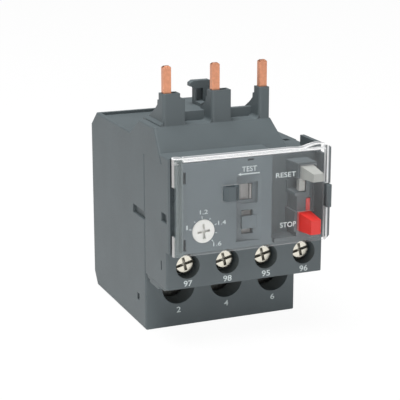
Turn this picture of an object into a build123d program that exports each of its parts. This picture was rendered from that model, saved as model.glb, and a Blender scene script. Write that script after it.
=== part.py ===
"""Three-pole thermal overload relay, plug-in type, as separate moulded, pressed and turned pieces.

Millimetres. +Z is up, -Y is the front that carries the dial and the buttons, +X is to the right
seen from the front. The origin is the middle of the bottom of the whole relay.
"""
import os
from math import radians
from build123d import *

# Walls and clearances
WALL = 1.4
THIN_WALL = 1.2
RUNNING = 0.06             # radial clearance of a shaft in its hole
SLIDING = 0.3              # clearance of a sliding or swinging piece
SEAT = 0.1                 # clearance of a piece that drops into a pocket
EDGE = 0.5                 # rounding of the moulded outer edges

# Width
BODY_WIDTH = 45.0
LEFT = -BODY_WIDTH / 2
RIGHT = BODY_WIDTH / 2
INNER_LEFT = LEFT + WALL
INNER_RIGHT = RIGHT - WALL

# Depth, from the back to the button faces
BODY_DEPTH = 44.6          # back to the lower front face with the power wells
BLOCK_OVERHANG = 16.0      # lower front face to the front of the auxiliary terminals
PANEL_PROUD = 2.3          # auxiliary terminal front to the setting panel
COVER_GAP = 0.6            # setting panel to the inside of the clear cover
COVER_WALL = 1.0
BUTTON_PROUD = 5.5         # clear cover to the faces of the two buttons
BACK = (BODY_DEPTH + BLOCK_OVERHANG + PANEL_PROUD + COVER_GAP + COVER_WALL + BUTTON_PROUD) / 2
LOWER_FRONT = BACK - BODY_DEPTH
BLOCK_FRONT = LOWER_FRONT - BLOCK_OVERHANG
PANEL_FRONT = BLOCK_FRONT - PANEL_PROUD
COVER_INSIDE = PANEL_FRONT - COVER_GAP
COVER_FRONT = COVER_INSIDE - COVER_WALL
BUTTON_FRONT = COVER_FRONT - BUTTON_PROUD
SIDE_FRONT = PANEL_FRONT + 0.5

# Heights, stacked from the bottom
BLOCK_BOTTOM = 16.3        # underside of the overhanging front
TERMINAL_ROW = 10.1        # height of the row of auxiliary terminals
RESET_RISE = 16.9          # bottom of the setting panel to the reset button
RESET_HEIGHT = 3.35
RESET_COVER = 2.65         # top of the reset button to the right deck
PANEL_RISE = 0.9           # right deck to the top of the setting panel
DECK_STEP = 3.9            # right deck to the rear deck
HOOD_RISE = 4.6            # rear deck to the top of the hood
TOWER_RISE = 8.4           # hood to the tops of the towers
PRONG_PROUD = 7.1          # towers to the tips of the prongs
PANEL_BOTTOM = BLOCK_BOTTOM + TERMINAL_ROW
RESET_Z = (PANEL_BOTTOM + RESET_RISE, PANEL_BOTTOM + RESET_RISE + RESET_HEIGHT)
RIGHT_DECK_HEIGHT = RESET_Z[1] + RESET_COVER
PANEL_TOP = RIGHT_DECK_HEIGHT + PANEL_RISE
RAISED_TOP = PANEL_TOP + 1.5
BODY_HEIGHT = RIGHT_DECK_HEIGHT + DECK_STEP
HOOD_HEIGHT = BODY_HEIGHT + HOOD_RISE
TOWER_HEIGHT = HOOD_HEIGHT + TOWER_RISE
PRONG_HEIGHT = TOWER_HEIGHT + PRONG_PROUD

# Outline of the main housing and its hood
REAR_TOP_CHAMFER = (4.9, 4.0)
REAR_BOTTOM_CHAMFER = (2.7, 3.8)
RAMP_FOOT = LOWER_FRONT + 10.75
HOOD_REAR = LOWER_FRONT + 3.5
HOOD_FRONT = LOWER_FRONT - 7.6
HOOD_FOOT = LOWER_FRONT - 12.7
FLANK_TOP_X = RIGHT - 12.0
FLANK_FOOT_X = RIGHT - 8.6
DECK_SINK = 0.8
DECK_RIM = 1.2
SHELF_TOP = HOOD_HEIGHT + 2.5
SHELF_FRONT = HOOD_FRONT + 4.8
SHELF_REAR = RAMP_FOOT + 5.2
SHELF_WALL = 1.5
SHELF_NARROW = 2.7         # how far the shelf reaches to the left of the middle prong at its rear
DECK_SLOT = (RIGHT - 3.5, RIGHT - 1.8, LOWER_FRONT + 0.2, LOWER_FRONT + 2.4)
HOOK_BACK = HOOD_FRONT + 15.0
HOOK_THICK = 2.2
HOOK_TOP = SHELF_TOP + 6.5
HOOK_LEFT = -0.9           # left side of the neck, from the middle prong
HOOK_WIDTH = 5.2
HOOK_REACH = 1.4           # how far the head overhangs to the left
HOOK_FOOT = 4.2            # how far the foot stands out in front of the neck

# Inside of the main housing
CEILING = BODY_HEIGHT - DECK_SINK - THIN_WALL
RIGHT_CEILING = RIGHT_DECK_HEIGHT - THIN_WALL
FRONT_WALL = 1.4
CHAMBER_FRONT = LOWER_FRONT + FRONT_WALL
FLOOR_WALL = 1.6
PARTITION = 1.2
PLATE_WALL = 1.6
PLATE_BOTTOM = 4.6
PLATE_TOP = RIGHT_DECK_HEIGHT - WALL - 0.2
HOOD_FLOOR = RIGHT_DECK_HEIGHT + 1.3
RIB_TOP = 13.9

# Poles: the pitch leaves a margin beside the outer ones
POLE_MARGIN = 2.25
POLE_PITCH = (BODY_WIDTH - POLE_MARGIN) / 3
POLE_CENTRE_X = 1.4
POLE_X = [POLE_CENTRE_X + k * POLE_PITCH for k in (-1, 0, 1)]
POWER_Z = 11.1
POWER_WELL_R = 4.75
POWER_WELL_DEPTH = 6.6
POWER_ENTRY_R = 2.4
POWER_ENTRY_Y = LOWER_FRONT + 9.8
POWER_SHANK_R = 1.95
POWER_HEAD_R = 3.7
POWER_HEAD_WALL = 2.0
CLAMP_WALL = 1.0
CLAMP_HALF = 3.6
TERMINAL_FACE = POWER_ENTRY_Y + 0.6
TERMINAL_WALL = 1.2
TERMINAL_HALF = 4.4
TERMINAL_BOTTOM = 5.0
TERMINAL_TOP = 14.0
BRACKET_RISE = 1.8         # terminal foot to the root of the strip
DRIVER_TILT = -14

# Line prongs and the towers that hold them
PRONG_MARGIN = 4.35
PRONG_PITCH = (BODY_WIDTH - PRONG_MARGIN) / 3
PRONG_CENTRE_X = -4.8
PRONG_X = [PRONG_CENTRE_X + k * PRONG_PITCH for k in (-1, 0, 1)]
PRONG_WIDTH = 2.1
PRONG_THICK = 1.6
TOWER_FRONT_WALL = 0.7
TOWER_SIDE_WALL = 0.5
TOWER_TOP_DEPTH = 3.1
TOWER_FILLET = 1.0         # rounding at the feet of the towers
TOWER_RIGHT_REACH = [3.2, 3.9, 1.4]     # prong centre to the right face of each tower
LEDGE_WIDTH = 1.3                       # lower step beside the left tower
LEDGE_DROP = 1.6
PIN_JOG = 1.95
PIN_LEVEL = HOOD_FLOOR + 0.3
PIN_STRAP = 1.2
PIN_HALF = 0.8
PIN_TAIL_WALL = 0.9

# Heaters, strips and the two bars that the strips push
SLIDE_TRAVEL = 2.0
TIP_Z = RIGHT_DECK_HEIGHT - 2.7
BIMETAL_Y = 8.0
BIMETAL_WIDTH = 5.0
BIMETAL_THICK = 0.8
BIMETAL_ROOT_Z = TERMINAL_TOP + TERMINAL_WALL + BRACKET_RISE
BIMETAL_FRONT = BIMETAL_Y - BIMETAL_WIDTH / 2
BIMETAL_BACK = BIMETAL_Y + BIMETAL_WIDTH / 2
BAR_BOTTOM = TIP_Z - 4.8
BAR_WALL = 1.4
SECOND_BAR_WALL = 1.2
BAR_GAP = 0.2
TIP_GAP = 0.15             # strip to the finger that it pushes
BACK_TIP_GAP = 0.4         # strip to the finger behind it
FINGER = 1.0
COIL_R = 3.3
COIL_WIRE_R = 0.45
COIL_PITCH = 2.0
COIL_BOTTOM = BIMETAL_ROOT_Z + 4.0
COIL_TOP = BAR_BOTTOM - 3.4
SLEEVE_LIP = 0.8
RUN_LEVEL = TIP_Z + 0.4

# Auxiliary terminals
AUX_NUMBERS = (97, 98, 95, 96)
AUX_MARGIN = 0.2
AUX_PITCH = (BODY_WIDTH - AUX_MARGIN) / 4
AUX_CENTRE_X = 0.25
AUX_X = [AUX_CENTRE_X + k * AUX_PITCH for k in (-1.5, -0.5, 0.5, 1.5)]
AUX_Z = BLOCK_BOTTOM + 5.9
AUX_WELL_R = 3.3
AUX_ENTRY_R = 1.5
AUX_SHANK_R = 1.45
AUX_HEAD_R = 2.8
AUX_HEAD_FRONT = BLOCK_FRONT + 2.4
AUX_HEAD_BACK = AUX_HEAD_FRONT + 1.6
AUX_CLAMP_WALL = 0.8
AUX_CLAMP_HALF = 2.7
AUX_PLATE_FRONT = AUX_HEAD_BACK + 0.95
AUX_PLATE_WALL = 1.0
AUX_PLATE_BACK = AUX_PLATE_FRONT + AUX_PLATE_WALL
AUX_PLATE_HALF = 2.9
AUX_ENTRY_Y = AUX_PLATE_FRONT - 0.45
AUX_FLOOR = 1.2
SKIRT_DROP = 1.6           # the left side wall hangs below the underside of the block
SKIRT_STEP = 0.75

# Control housing
SHELF_BOTTOM = PANEL_BOTTOM - SEAT
CAVITY_BOTTOM = SHELF_BOTTOM + THIN_WALL
CAVITY_TOP = RIGHT_DECK_HEIGHT - WALL
RAISED_CEILING = RAISED_TOP - THIN_WALL
RIM = 1.1

# Setting panel
PANEL_LEFT = LEFT + 3.3
PANEL_RIGHT = RIGHT - 16.3
RAISED_RIGHT = PANEL_RIGHT + SEAT
PANEL_WALL = 1.5
PANEL_BACK = PANEL_FRONT + PANEL_WALL
RECESS_FLOOR = PANEL_FRONT + 5.5
DIAL_X = PANEL_LEFT + 6.05
DIAL_Z = PANEL_BOTTOM + 5.55
DIAL_R = 3.1
DIAL_FLANGE = 0.9
DIAL_SHAFT_R = 1.4
DIAL_FACE = PANEL_FRONT - 0.2
TEST_WINDOW = (PANEL_RIGHT - 8.9, PANEL_RIGHT - 5.3, PANEL_BOTTOM + 12.5, PANEL_BOTTOM + 16.8)
FLAG_WINDOW = (PANEL_RIGHT - 8.3, PANEL_RIGHT - 5.25, PANEL_BOTTOM + 3.4, PANEL_BOTTOM + 9.8)
WINDOW_STEP = 0.9
SCOOP = (PANEL_RIGHT - 10.1, PANEL_RIGHT - 3.0, PANEL_BOTTOM + 1.6, PANEL_BOTTOM + 19.1)
SCOOP_DEPTH = 1.1
BRIDGE = (PANEL_RIGHT - 8.5, PANEL_RIGHT - 4.3, PANEL_BOTTOM + 4.9, PANEL_BOTTOM + 8.3)
BRIDGE_DEPTH = 0.8
SEAL_LOOP = (PANEL_RIGHT - 14.1, PANEL_RIGHT - 10.1, PANEL_BOTTOM + 13.4, PANEL_BOTTOM + 16.9)
SEAL_PROUD = 1.9
SEAL_WALL = 0.7
SIDE_SLOTS = ((PANEL_BOTTOM + 18.5, PANEL_BOTTOM + 21.5), (PANEL_BOTTOM + 0.8, PANEL_BOTTOM + 3.8))

# Test slider
TEST_FLANGE = (PANEL_RIGHT - 11.8, PANEL_RIGHT - 3.3, PANEL_BOTTOM + 11.8, PANEL_BOTTOM + 17.5)
TEST_FRONT = PANEL_BACK + SLIDING
TEST_WALL = 1.1
TEST_TRAVEL = 2.0
RAIL_GAP = 0.15

# Button column
COLUMN_LEFT = RIGHT - 9.0
COLUMN_RIGHT = RIGHT - 3.9
COLUMN_TOP = RESET_Z[0] - 1.4
COLUMN_ROUND = 2.0
CHEEK = 0.6                # side plates of the column, beside each button
CHEEK_HEIGHT = 3.4
HOOD_WALL = 0.6
HOOD_GAP = 0.25
HOOD_FLARE = 0.75          # the left wall of the hood widens to the rear at its top
RESET_X = (RIGHT - 8.2, RIGHT - 4.4)
STOP_X = (RIGHT - 8.7, RIGHT - 5.0)
STOP_Z = (PANEL_BOTTOM + 2.8, PANEL_BOTTOM + 7.8)
RESET_TAPER = (0.3, 0.6, 0.5, 0.75)     # left, right, bottom and top, from the root to the face
STOP_TAPER = (0.4, 0.5, 0.5, 0.6)
BUTTON_TRAVEL = 3.0
BUTTON_REAR = PANEL_FRONT + 7.9
CAP_ROOT = COVER_INSIDE + 0.2
PLUNGER_R = 1.0
PLUNGER_REAR = BUTTON_REAR + 6.0
RESET_LEG = (RIGHT - 8.3, RIGHT - 6.6, RESET_Z[0] - 3.5, RESET_Z[0] + 0.1)
STOP_STEM = (RIGHT - 6.2, RIGHT - 5.0, STOP_Z[1] - 0.1, STOP_Z[1] + 3.4)
LEG_FRONT = PANEL_FRONT + 0.2
LEG_BACK = PANEL_FRONT + 1.7
SPRING_R = 1.6
SPRING_WIRE_R = 0.2
SPRING_PITCH = 1.0
SPRING_SEAT_Y = BUTTON_REAR + 4.5
SPRING_SEAT_R = 2.1

# Clear cover, its hinge and its catch
COVER_BOTTOM = PANEL_BOTTOM - 0.2
COVER_TOP = PANEL_TOP + 1.8
COVER_RIGHT = RIGHT
COVER_RIM_BACK = SIDE_FRONT - 0.15
COVER_CLEAR = 0.4
COVER_ROUND = 1.2
LIP_LEFT = COVER_RIGHT - 12.0           # where the top edge starts to rise to the lip
LIP_RISE = 0.7
HINGE_X = LEFT + 1.85
HINGE_Y = COVER_FRONT + 1.3
HINGE_PIN_R = 0.55
BARREL_R = 1.25
BARREL_ROOM = 0.35
COVER_LEFT = HINGE_X - BARREL_R
KNUCKLE_TOP_FROM = PANEL_BOTTOM + 18.1
KNUCKLE_BOTTOM_TO = PANEL_BOTTOM + 5.1
ROD_ENDS = (COVER_BOTTOM + 1.3, PANEL_TOP - 0.1)
ROD_LUGS = (PANEL_BOTTOM + 6.8, PANEL_BOTTOM + 13.1, PANEL_BOTTOM + 16.5)
CATCH_Z = (PANEL_BOTTOM + 9.0, PANEL_BOTTOM + 15.0)
CATCH_LEFT = RIGHT - 1.5
CATCH_FRONT = COVER_FRONT - 1.2
TAB = (RIGHT - 2.0, RIGHT - 0.8, BLOCK_FRONT + 0.3, HOOD_FOOT + 6.9)
TAB_HEIGHT = 2.7

# Cam and follower behind the dial
CAM_FRONT = PANEL_BACK + 1.9
CAM_BACK = CAM_FRONT + 1.4
CAM_R = 3.0
CAM_RISE = 0.4             # follower lift per radian of dial turn
CAM_SPOKES = [15 + 30 * step for step in range(8)]
FOLLOWER_HALF = 1.0
FOLLOWER_TOP = CAVITY_TOP - 1.1
FOLLOWER_ARM = 1.4
GUIDE_Z = (PANEL_BOTTOM + 10.6, PANEL_BOTTOM + 17.6)

# Mechanism frame, rocker and rod
FRAME_BACK = LOWER_FRONT - 1.3
FRAME_FRONT = FRAME_BACK - 1.3
ROCKER_X = PANEL_RIGHT - 6.2
ROCKER_Z = PANEL_BOTTOM + 8.8
ROCKER_HALF = 0.8
ROCKER_HUB = 1.7
ROCKER_ARM = 0.75          # half the height of the arm under the carrier
ROCKER_PIN_R = 0.9
ROCKER_BACK = PANEL_FRONT + 8.6
ROCKER_FRONT = ROCKER_BACK - 1.3
ROD_HALF = 0.7
ROD_Y = ROCKER_BACK - 0.55
ROD_Z = ROCKER_Z + 4.6
ROCKER_TOP = ROD_Z + 2.6
TAIL_Z = (ROD_Z + 1.2, ROD_Z + 2.4)
STRIP_WALL = 0.1

# Trip lever
LEVER_X = POLE_X[2] + 1.95
LEVER_Y = LOWER_FRONT - 1.9
LEVER_PIN_R = 0.6
LEVER_HUB_R = 1.4
LEVER_ARM = 0.6            # half the width of both arms
FRONT_ARM_Z = (ROD_Z - 1.4, ROD_Z + 1.2)
REAR_ARM_Z = (BAR_BOTTOM - 3.4, BAR_BOTTOM - 0.8)
LEVER_Z = (min(FRONT_ARM_Z[0], REAR_ARM_Z[0]) - 1.8, max(FRONT_ARM_Z[1], REAR_ARM_Z[1]) + 0.6)
LEVER_FRONT = ROD_Y - 1.0
BAR_Y = LEVER_Y + 12.9
LEVER_REAR = BAR_Y + BAR_WALL + BAR_GAP
LUG_GAP = 0.2
LUG_WALL = 1.1
LUG_HALF = 1.6
LEVER_WINDOW_X = (LEVER_X - 2.0, LEVER_X + 2.2)

# Contact carrier, bridges and flag
CARRIER_TRAVEL = 1.5
CARRIER_ARM = 6.0
CARRIER_BACK = FRAME_FRONT - 3.3
CARRIER_FRONT = CARRIER_BACK - 1.4
CARRIER_Z = (CAVITY_BOTTOM + 1.9, CAVITY_BOTTOM + 4.7)
BRIDGE_Y = (CARRIER_BACK - 3.5, CARRIER_BACK - 1.5)
BRIDGE_WALL = 0.4
POST_HALF = 0.9
TIP_R = 0.8
TIP_WALL = 0.5
FIXED_ARM = 0.6
NO_X = [(AUX_X[0] + AUX_X[1]) / 2 + side * 1.8 for side in (-1, 1)]
NC_X = [(AUX_X[2] + AUX_X[3]) / 2 - 1.95 + side * 2.1 for side in (-1, 1)]
FIXED_LEVEL = CAVITY_BOTTOM + 0.7
NC_LEVEL = FIXED_LEVEL + 2 * TIP_WALL
NO_LEVEL = NC_LEVEL + 1.6
NO_FIXED_LEVEL = NO_LEVEL + BRIDGE_WALL + 2 * TIP_WALL + CARRIER_TRAVEL + 0.05
CARRIER_RAILS = (NO_X[0] - 0.8, ROCKER_X - 2.6, NC_X[0] + 2.1)
CONTACT_SLOTS = [(AUX_X[0] - 2.2, AUX_X[0] + 2.2), (AUX_X[1] - 2.2, AUX_X[1] + 0.8),
                 (AUX_X[2] - 0.6, AUX_X[2] + 2.2), (AUX_X[3] - 2.2, AUX_X[3] + 1.0)]
FLAG_X = (PANEL_RIGHT - 8.1, PANEL_RIGHT - 5.4)
FLAG_Z = (PANEL_BOTTOM + 2.5, PANEL_BOTTOM + 9.3)
FLAG_WALL = 0.8

# Small moulded pockets in the left side: y from and to, z from and to
POCKET_DEPTH = 0.8
HOUSING_POCKETS = [(LOWER_FRONT, LOWER_FRONT + 9.0, 31.2, 33.6),
                   (LOWER_FRONT + 4.8, LOWER_FRONT + 6.5, 7.0, 8.9)]
CONTROL_POCKETS = [(BLOCK_FRONT - 0.3, BLOCK_FRONT + 3.4, PANEL_BOTTOM + 7.9, PANEL_BOTTOM + 10.3),
                   (BLOCK_FRONT + 3.4, BLOCK_FRONT + 4.0, BLOCK_BOTTOM + 4.6, BLOCK_BOTTOM + 7.1)]


def block(x0, x1, y0, y1, z0, z1):
    """A box between two corners."""
    return Pos((x0 + x1) / 2, (y0 + y1) / 2, (z0 + z1) / 2) * Box(abs(x1 - x0), abs(y1 - y0), abs(z1 - z0))


def rod_y(x, z, r, y0, y1):
    return Pos(x, (y0 + y1) / 2, z) * Rot(90, 0, 0) * Cylinder(r, abs(y1 - y0))


def rod_z(x, y, r, z0, z1):
    return Pos(x, y, (z0 + z1) / 2) * Cylinder(r, abs(z1 - z0))


def prism_x(outline, x0, x1):
    """An outline of (y, z) points drawn along X."""
    wire = Polyline(*[(x0, y, z) for y, z in outline], close=True)
    return extrude(make_face(wire), amount=x1 - x0, dir=(1, 0, 0))


def prism_y(outline, y0, y1):
    """An outline of (x, z) points drawn along Y."""
    wire = Polyline(*[(x, y0, z) for x, z in outline], close=True)
    return extrude(make_face(wire), amount=y1 - y0, dir=(0, 1, 0))


def prism_z(outline, z0, z1):
    """An outline of (x, y) points drawn along Z."""
    wire = Polyline(*[(x, y, z0) for x, y in outline], close=True)
    return extrude(make_face(wire), amount=z1 - z0, dir=(0, 0, 1))


def coil(radius, wire_r, pitch, length):
    """A helical winding about Z from z = 0, with its ends inside the given length."""
    path = Helix(pitch=pitch, height=length - 2 * wire_r, radius=radius)
    start = Plane(origin=path @ 0, z_dir=path % 0)
    return Pos(0, 0, wire_r) * sweep(start * Circle(wire_r), path=path)


def round_sides(body, *places, seam_z=None):
    """Round the edges that lie in the side planes at the given X, but not those at the seam height."""
    edges = ShapeList()
    for x in places:
        edges += body.edges().filter_by_position(Axis.X, x - 0.01, x + 0.01)
    if seam_z is not None:
        edges = ShapeList([edge for edge in edges if abs(edge.center().Z - seam_z) > 0.01])
    return fillet(edges, EDGE)


def slope_y(z):
    """Where the front slope of the hood lies at a height."""
    rise = (z - RIGHT_DECK_HEIGHT) / (HOOD_HEIGHT - RIGHT_DECK_HEIGHT)
    return HOOD_FOOT + rise * (HOOD_FRONT - HOOD_FOOT)


def middle(span):
    return (span[0] + span[1]) / 2


# Main housing: the moulded shell that holds the three poles

def tower_profile(top):
    """Side view of a tower: flat front, stepped back, sloping foot."""
    front = HOOD_FRONT
    back = front + TOWER_TOP_DEPTH
    foot = HOOD_HEIGHT - 2
    return [(front, foot), (front, top), (back, top), (back, top - 1.8), (back + 0.9, top - 2.0),
            (back + 1.05, top - 3.3), (back + 2.55, top - 4.5), (back + 7.25, top - 7.3), (back + 8.6, foot)]


def tower_span(k):
    """Left and right face of a tower."""
    left = PRONG_X[k] - PRONG_WIDTH / 2 - TOWER_SIDE_WALL
    return left, PRONG_X[k] + TOWER_RIGHT_REACH[k]


def housing_outline():
    chamfer_y, chamfer_z = REAR_TOP_CHAMFER
    low_y, low_z = REAR_BOTTOM_CHAMFER
    return [(BACK, low_z), (BACK - low_y, 0), (LOWER_FRONT, 0), (LOWER_FRONT, RIGHT_DECK_HEIGHT),
            (HOOD_FOOT, RIGHT_DECK_HEIGHT), (HOOD_FRONT, HOOD_HEIGHT), (HOOD_REAR, HOOD_HEIGHT),
            (RAMP_FOOT, BODY_HEIGHT), (BACK - chamfer_y, BODY_HEIGHT), (BACK, BODY_HEIGHT - chamfer_z)]


def main_housing():
    body = round_sides(prism_x(housing_outline(), LEFT, RIGHT), LEFT, RIGHT, seam_z=RIGHT_DECK_HEIGHT)
    body -= prism_y([(FLANK_TOP_X, HOOD_HEIGHT), (FLANK_FOOT_X, RIGHT_DECK_HEIGHT),
                     (RIGHT + 1, RIGHT_DECK_HEIGHT), (RIGHT + 1, HOOD_HEIGHT + 1),
                     (FLANK_TOP_X, HOOD_HEIGHT + 1)], HOOD_FOOT - 1, BACK + 1)
    deck_right = FLANK_FOOT_X - 2 * DECK_RIM - 1
    body -= block(LEFT + DECK_RIM, deck_right, RAMP_FOOT + 0.4, BACK - REAR_TOP_CHAMFER[0] - DECK_RIM,
                  BODY_HEIGHT - DECK_SINK, BODY_HEIGHT + 1)
    body = add_towers(body)
    body = hollow_poles(body)
    body = hollow_towers(body)
    return cut_housing_openings(body) + latch_hook()


def add_towers(body):
    """The three towers, the step beside the left one and the deck under the hook."""
    right_0 = tower_span(0)[1]
    right_1 = tower_span(1)[1]
    left_2 = tower_span(2)[0]
    shelf = [(right_0 - 1, SHELF_FRONT), (right_1 - 1, SHELF_FRONT), (right_1 - 1, SHELF_REAR),
             (PRONG_CENTRE_X - SHELF_NARROW, SHELF_REAR)]
    body += prism_z(shelf, SHELF_TOP - 7.3, SHELF_TOP)
    body += block(right_1 - 1, left_2 + 1, SHELF_FRONT, SHELF_FRONT + SHELF_WALL, HOOD_HEIGHT - 1, SHELF_TOP)
    for k in range(3):
        tower = prism_x(tower_profile(TOWER_HEIGHT), *tower_span(k))
        front_edges = tower.edges().filter_by(Axis.Z).sort_by(Axis.Y)[:2]
        body += fillet(front_edges.sort_by(Axis.X)[0], 0.8)
    body += prism_x(tower_profile(TOWER_HEIGHT - LEDGE_DROP), right_0 - 0.1, right_0 + LEDGE_WIDTH)
    for x, side in ((right_0 + LEDGE_WIDTH, 1), (tower_span(1)[0], -1), (right_1, 1), (left_2, -1)):
        body += foot_fillet(x, side)
    left_0 = tower_span(0)[0]
    strip_top = HOOD_HEIGHT + TOWER_FILLET
    strip_back = HOOD_REAR + 1.6
    strip = prism_x([(HOOD_FRONT, HOOD_HEIGHT - 1.0), (HOOD_FRONT, strip_top), (HOOD_REAR, strip_top),
                     (strip_back, HOOD_HEIGHT), (strip_back, HOOD_HEIGHT - 1.8)], left_0 - 0.8, left_0 + 0.1)
    outer_edges = strip.edges().filter_by_position(Axis.X, left_0 - 0.81, left_0 - 0.79)
    return body + chamfer(outer_edges.sort_by(Axis.Z)[-2:].sort_by(Axis.Y)[0], 0.7)


def foot_fillet(x, side):
    """Rounded foot of a tower wall, along the top of the hood to the shelf."""
    corner = block(x - side * 0.1, x + side * TOWER_FILLET, HOOD_FRONT, SHELF_FRONT + 0.1, HOOD_HEIGHT - 0.1,
                   HOOD_HEIGHT + TOWER_FILLET)
    return corner - rod_y(x + side * TOWER_FILLET, HOOD_HEIGHT + TOWER_FILLET, TOWER_FILLET, HOOD_FRONT - 1,
                          SHELF_FRONT + 1)


def hollow_poles(body):
    """Cut the three chambers, with a partition between each two poles."""
    rear = BACK - PLATE_WALL
    walls = [(POLE_X[0] + POLE_X[1]) / 2, (POLE_X[1] + POLE_X[2]) / 2]
    edges = [INNER_LEFT]
    for wall_x in walls:
        edges += [wall_x - PARTITION / 2, wall_x + PARTITION / 2]
    edges.append(INNER_RIGHT)
    tall_right = FLANK_FOOT_X - 2.6
    tall_rear = BACK - REAR_TOP_CHAMFER[0] - THIN_WALL
    rib_front = TERMINAL_FACE + TERMINAL_WALL
    rib_inner = TERMINAL_HALF - 1.0
    for k, x in enumerate(POLE_X):
        x0, x1 = edges[2 * k], edges[2 * k + 1]
        chamber = block(x0, x1, CHAMBER_FRONT, rear, FLOOR_WALL, RIGHT_CEILING)
        chamber += block(x0, min(x1, tall_right), CHAMBER_FRONT, tall_rear, RIGHT_CEILING - 0.1, CEILING)
        body -= chamber
        # ribs that the terminal plate of the pole rests against
        for a, b in ((x0 - 0.1, x - rib_inner), (x + rib_inner, x1 + 0.1)):
            body += block(a, b, rib_front, rib_front + WALL, FLOOR_WALL - 0.1, RIB_TOP)
    for wall_x in walls:
        body -= block(wall_x - PARTITION, wall_x + PARTITION, CHAMBER_FRONT - 0.2, BIMETAL_BACK + 2.1,
                      BAR_BOTTOM - 0.5, TIP_Z + 0.4)
    # the rear opening takes the back plate, inside the rim of the side walls
    return body - block(INNER_LEFT, INNER_RIGHT, rear - 0.01, BACK + 1, PLATE_BOTTOM, PLATE_TOP)


def hollow_towers(body):
    """Cut the room in the hood and the slot that each prong stands in."""
    hood_ceiling = HOOD_HEIGHT - WALL
    body -= prism_x([(CHAMBER_FRONT + 0.1, CEILING - 2.0), (LOWER_FRONT - 1.0, HOOD_FLOOR),
                     (slope_y(HOOD_FLOOR) + 2.2, HOOD_FLOOR), (slope_y(hood_ceiling) + 2.2, hood_ceiling),
                     (HOOD_REAR - 0.4, hood_ceiling), (RAMP_FOOT - 1.2, CEILING),
                     (RAMP_FOOT - 1.2, CEILING - 2.0)], INNER_LEFT, FLANK_TOP_X - 0.9)
    strap_left = FLANK_TOP_X - 1.0
    strap_right = PRONG_X[2] + PIN_JOG + 1.0
    strap_top = PIN_LEVEL + PIN_STRAP + SLIDING
    body -= block(strap_left, strap_right, HOOD_FRONT + 0.6, CHAMBER_FRONT + 4.0, HOOD_FLOOR, strap_top)
    body -= block(strap_left, strap_right, CHAMBER_FRONT, CHAMBER_FRONT + 4.0, RIGHT_CEILING - 0.1, strap_top)
    slot_front = HOOD_FRONT + TOWER_FRONT_WALL
    for k in range(3):
        slot_left = PRONG_X[k] - PRONG_WIDTH / 2 - SEAT
        prong_right = PRONG_X[k] + PRONG_WIDTH / 2 + SEAT
        body -= block(slot_left, prong_right, slot_front, slot_front + PRONG_THICK + 2 * SEAT,
                      HOOD_FLOOR, TOWER_HEIGHT + 1)
        pocket_right = tower_span(k)[1] - TOWER_SIDE_WALL - 0.2
        if pocket_right > prong_right + SLIDING:
            body -= block(prong_right - 0.2, pocket_right, slot_front, slot_front + PRONG_THICK + 2 * SEAT,
                          TOWER_HEIGHT - 3.5, TOWER_HEIGHT + 1)
    return body


def cut_housing_openings(body):
    """Cut the power wells, the wire entries, the lever window and the small pockets."""
    for x in POLE_X:
        body += rod_y(x, POWER_Z, POWER_WELL_R + 1.0, LOWER_FRONT + 0.2, LOWER_FRONT + POWER_WELL_DEPTH)
        body -= rod_y(x, POWER_Z, POWER_WELL_R, LOWER_FRONT - 1, LOWER_FRONT + POWER_WELL_DEPTH + 0.5)
        body -= rod_z(x, POWER_ENTRY_Y, POWER_ENTRY_R, -1, FLOOR_WALL + 1)
    body -= block(*LEVER_WINDOW_X, LOWER_FRONT - 1, CHAMBER_FRONT + 0.5, LEVER_Z[0] - 2.0, LEVER_Z[1] + 1.4)
    for y0, y1, z0, z1 in HOUSING_POCKETS:
        body -= block(LEFT - 1, LEFT + POCKET_DEPTH, y0, y1, z0, z1)
    return body - block(*DECK_SLOT, RIGHT_DECK_HEIGHT - 0.9, RIGHT_DECK_HEIGHT + 1)


def latch_hook():
    """Hook on the hood that catches under the contactor, its head overhanging to the left."""
    left = PRONG_CENTRE_X + HOOK_LEFT
    right = left + HOOK_WIDTH
    tip = left - HOOK_REACH
    front = HOOK_BACK - HOOK_THICK
    outline = [(left, SHELF_TOP - 0.1), (left, HOOK_TOP - 2.2), (left - 0.35, HOOK_TOP - 1.75),
               (tip, HOOK_TOP - 1.5), (tip, HOOK_TOP - 0.6), (tip + 0.95, HOOK_TOP), (right - 0.9, HOOK_TOP),
               (right, HOOK_TOP - 0.6), (right, SHELF_TOP - 0.1)]
    hook = prism_y(outline, front, HOOK_BACK)
    hook -= block(left + 0.4, left + 2.3, front - 1, front + 1.2, SHELF_TOP + 1.0, HOOK_TOP - 2.1)
    foot = [(left, front + 0.1), (left, front - HOOK_FOOT), (left + 2.0, front - HOOK_FOOT + 2.2),
            (left + 2.0, front + 0.1)]
    return hook + prism_z(foot, SHELF_TOP - 0.1, SHELF_TOP + 1.0)


def back_plate():
    """Flat plate that closes the rear of the three chambers."""
    front = BACK - PLATE_WALL
    plate = block(INNER_LEFT + SEAT, INNER_RIGHT - SEAT, front, BACK, PLATE_BOTTOM + SEAT, PLATE_TOP - SEAT)
    for wall_x in ((POLE_X[0] + POLE_X[1]) / 2, (POLE_X[1] + POLE_X[2]) / 2):
        for side in (-1, 1):
            edge = wall_x + side * (PARTITION / 2 + SEAT)
            plate += block(edge, edge + side, front - 2, front + 0.1, PLATE_BOTTOM + 5.4, PLATE_TOP - 7.7)
    return plate


# Pole parts

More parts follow.
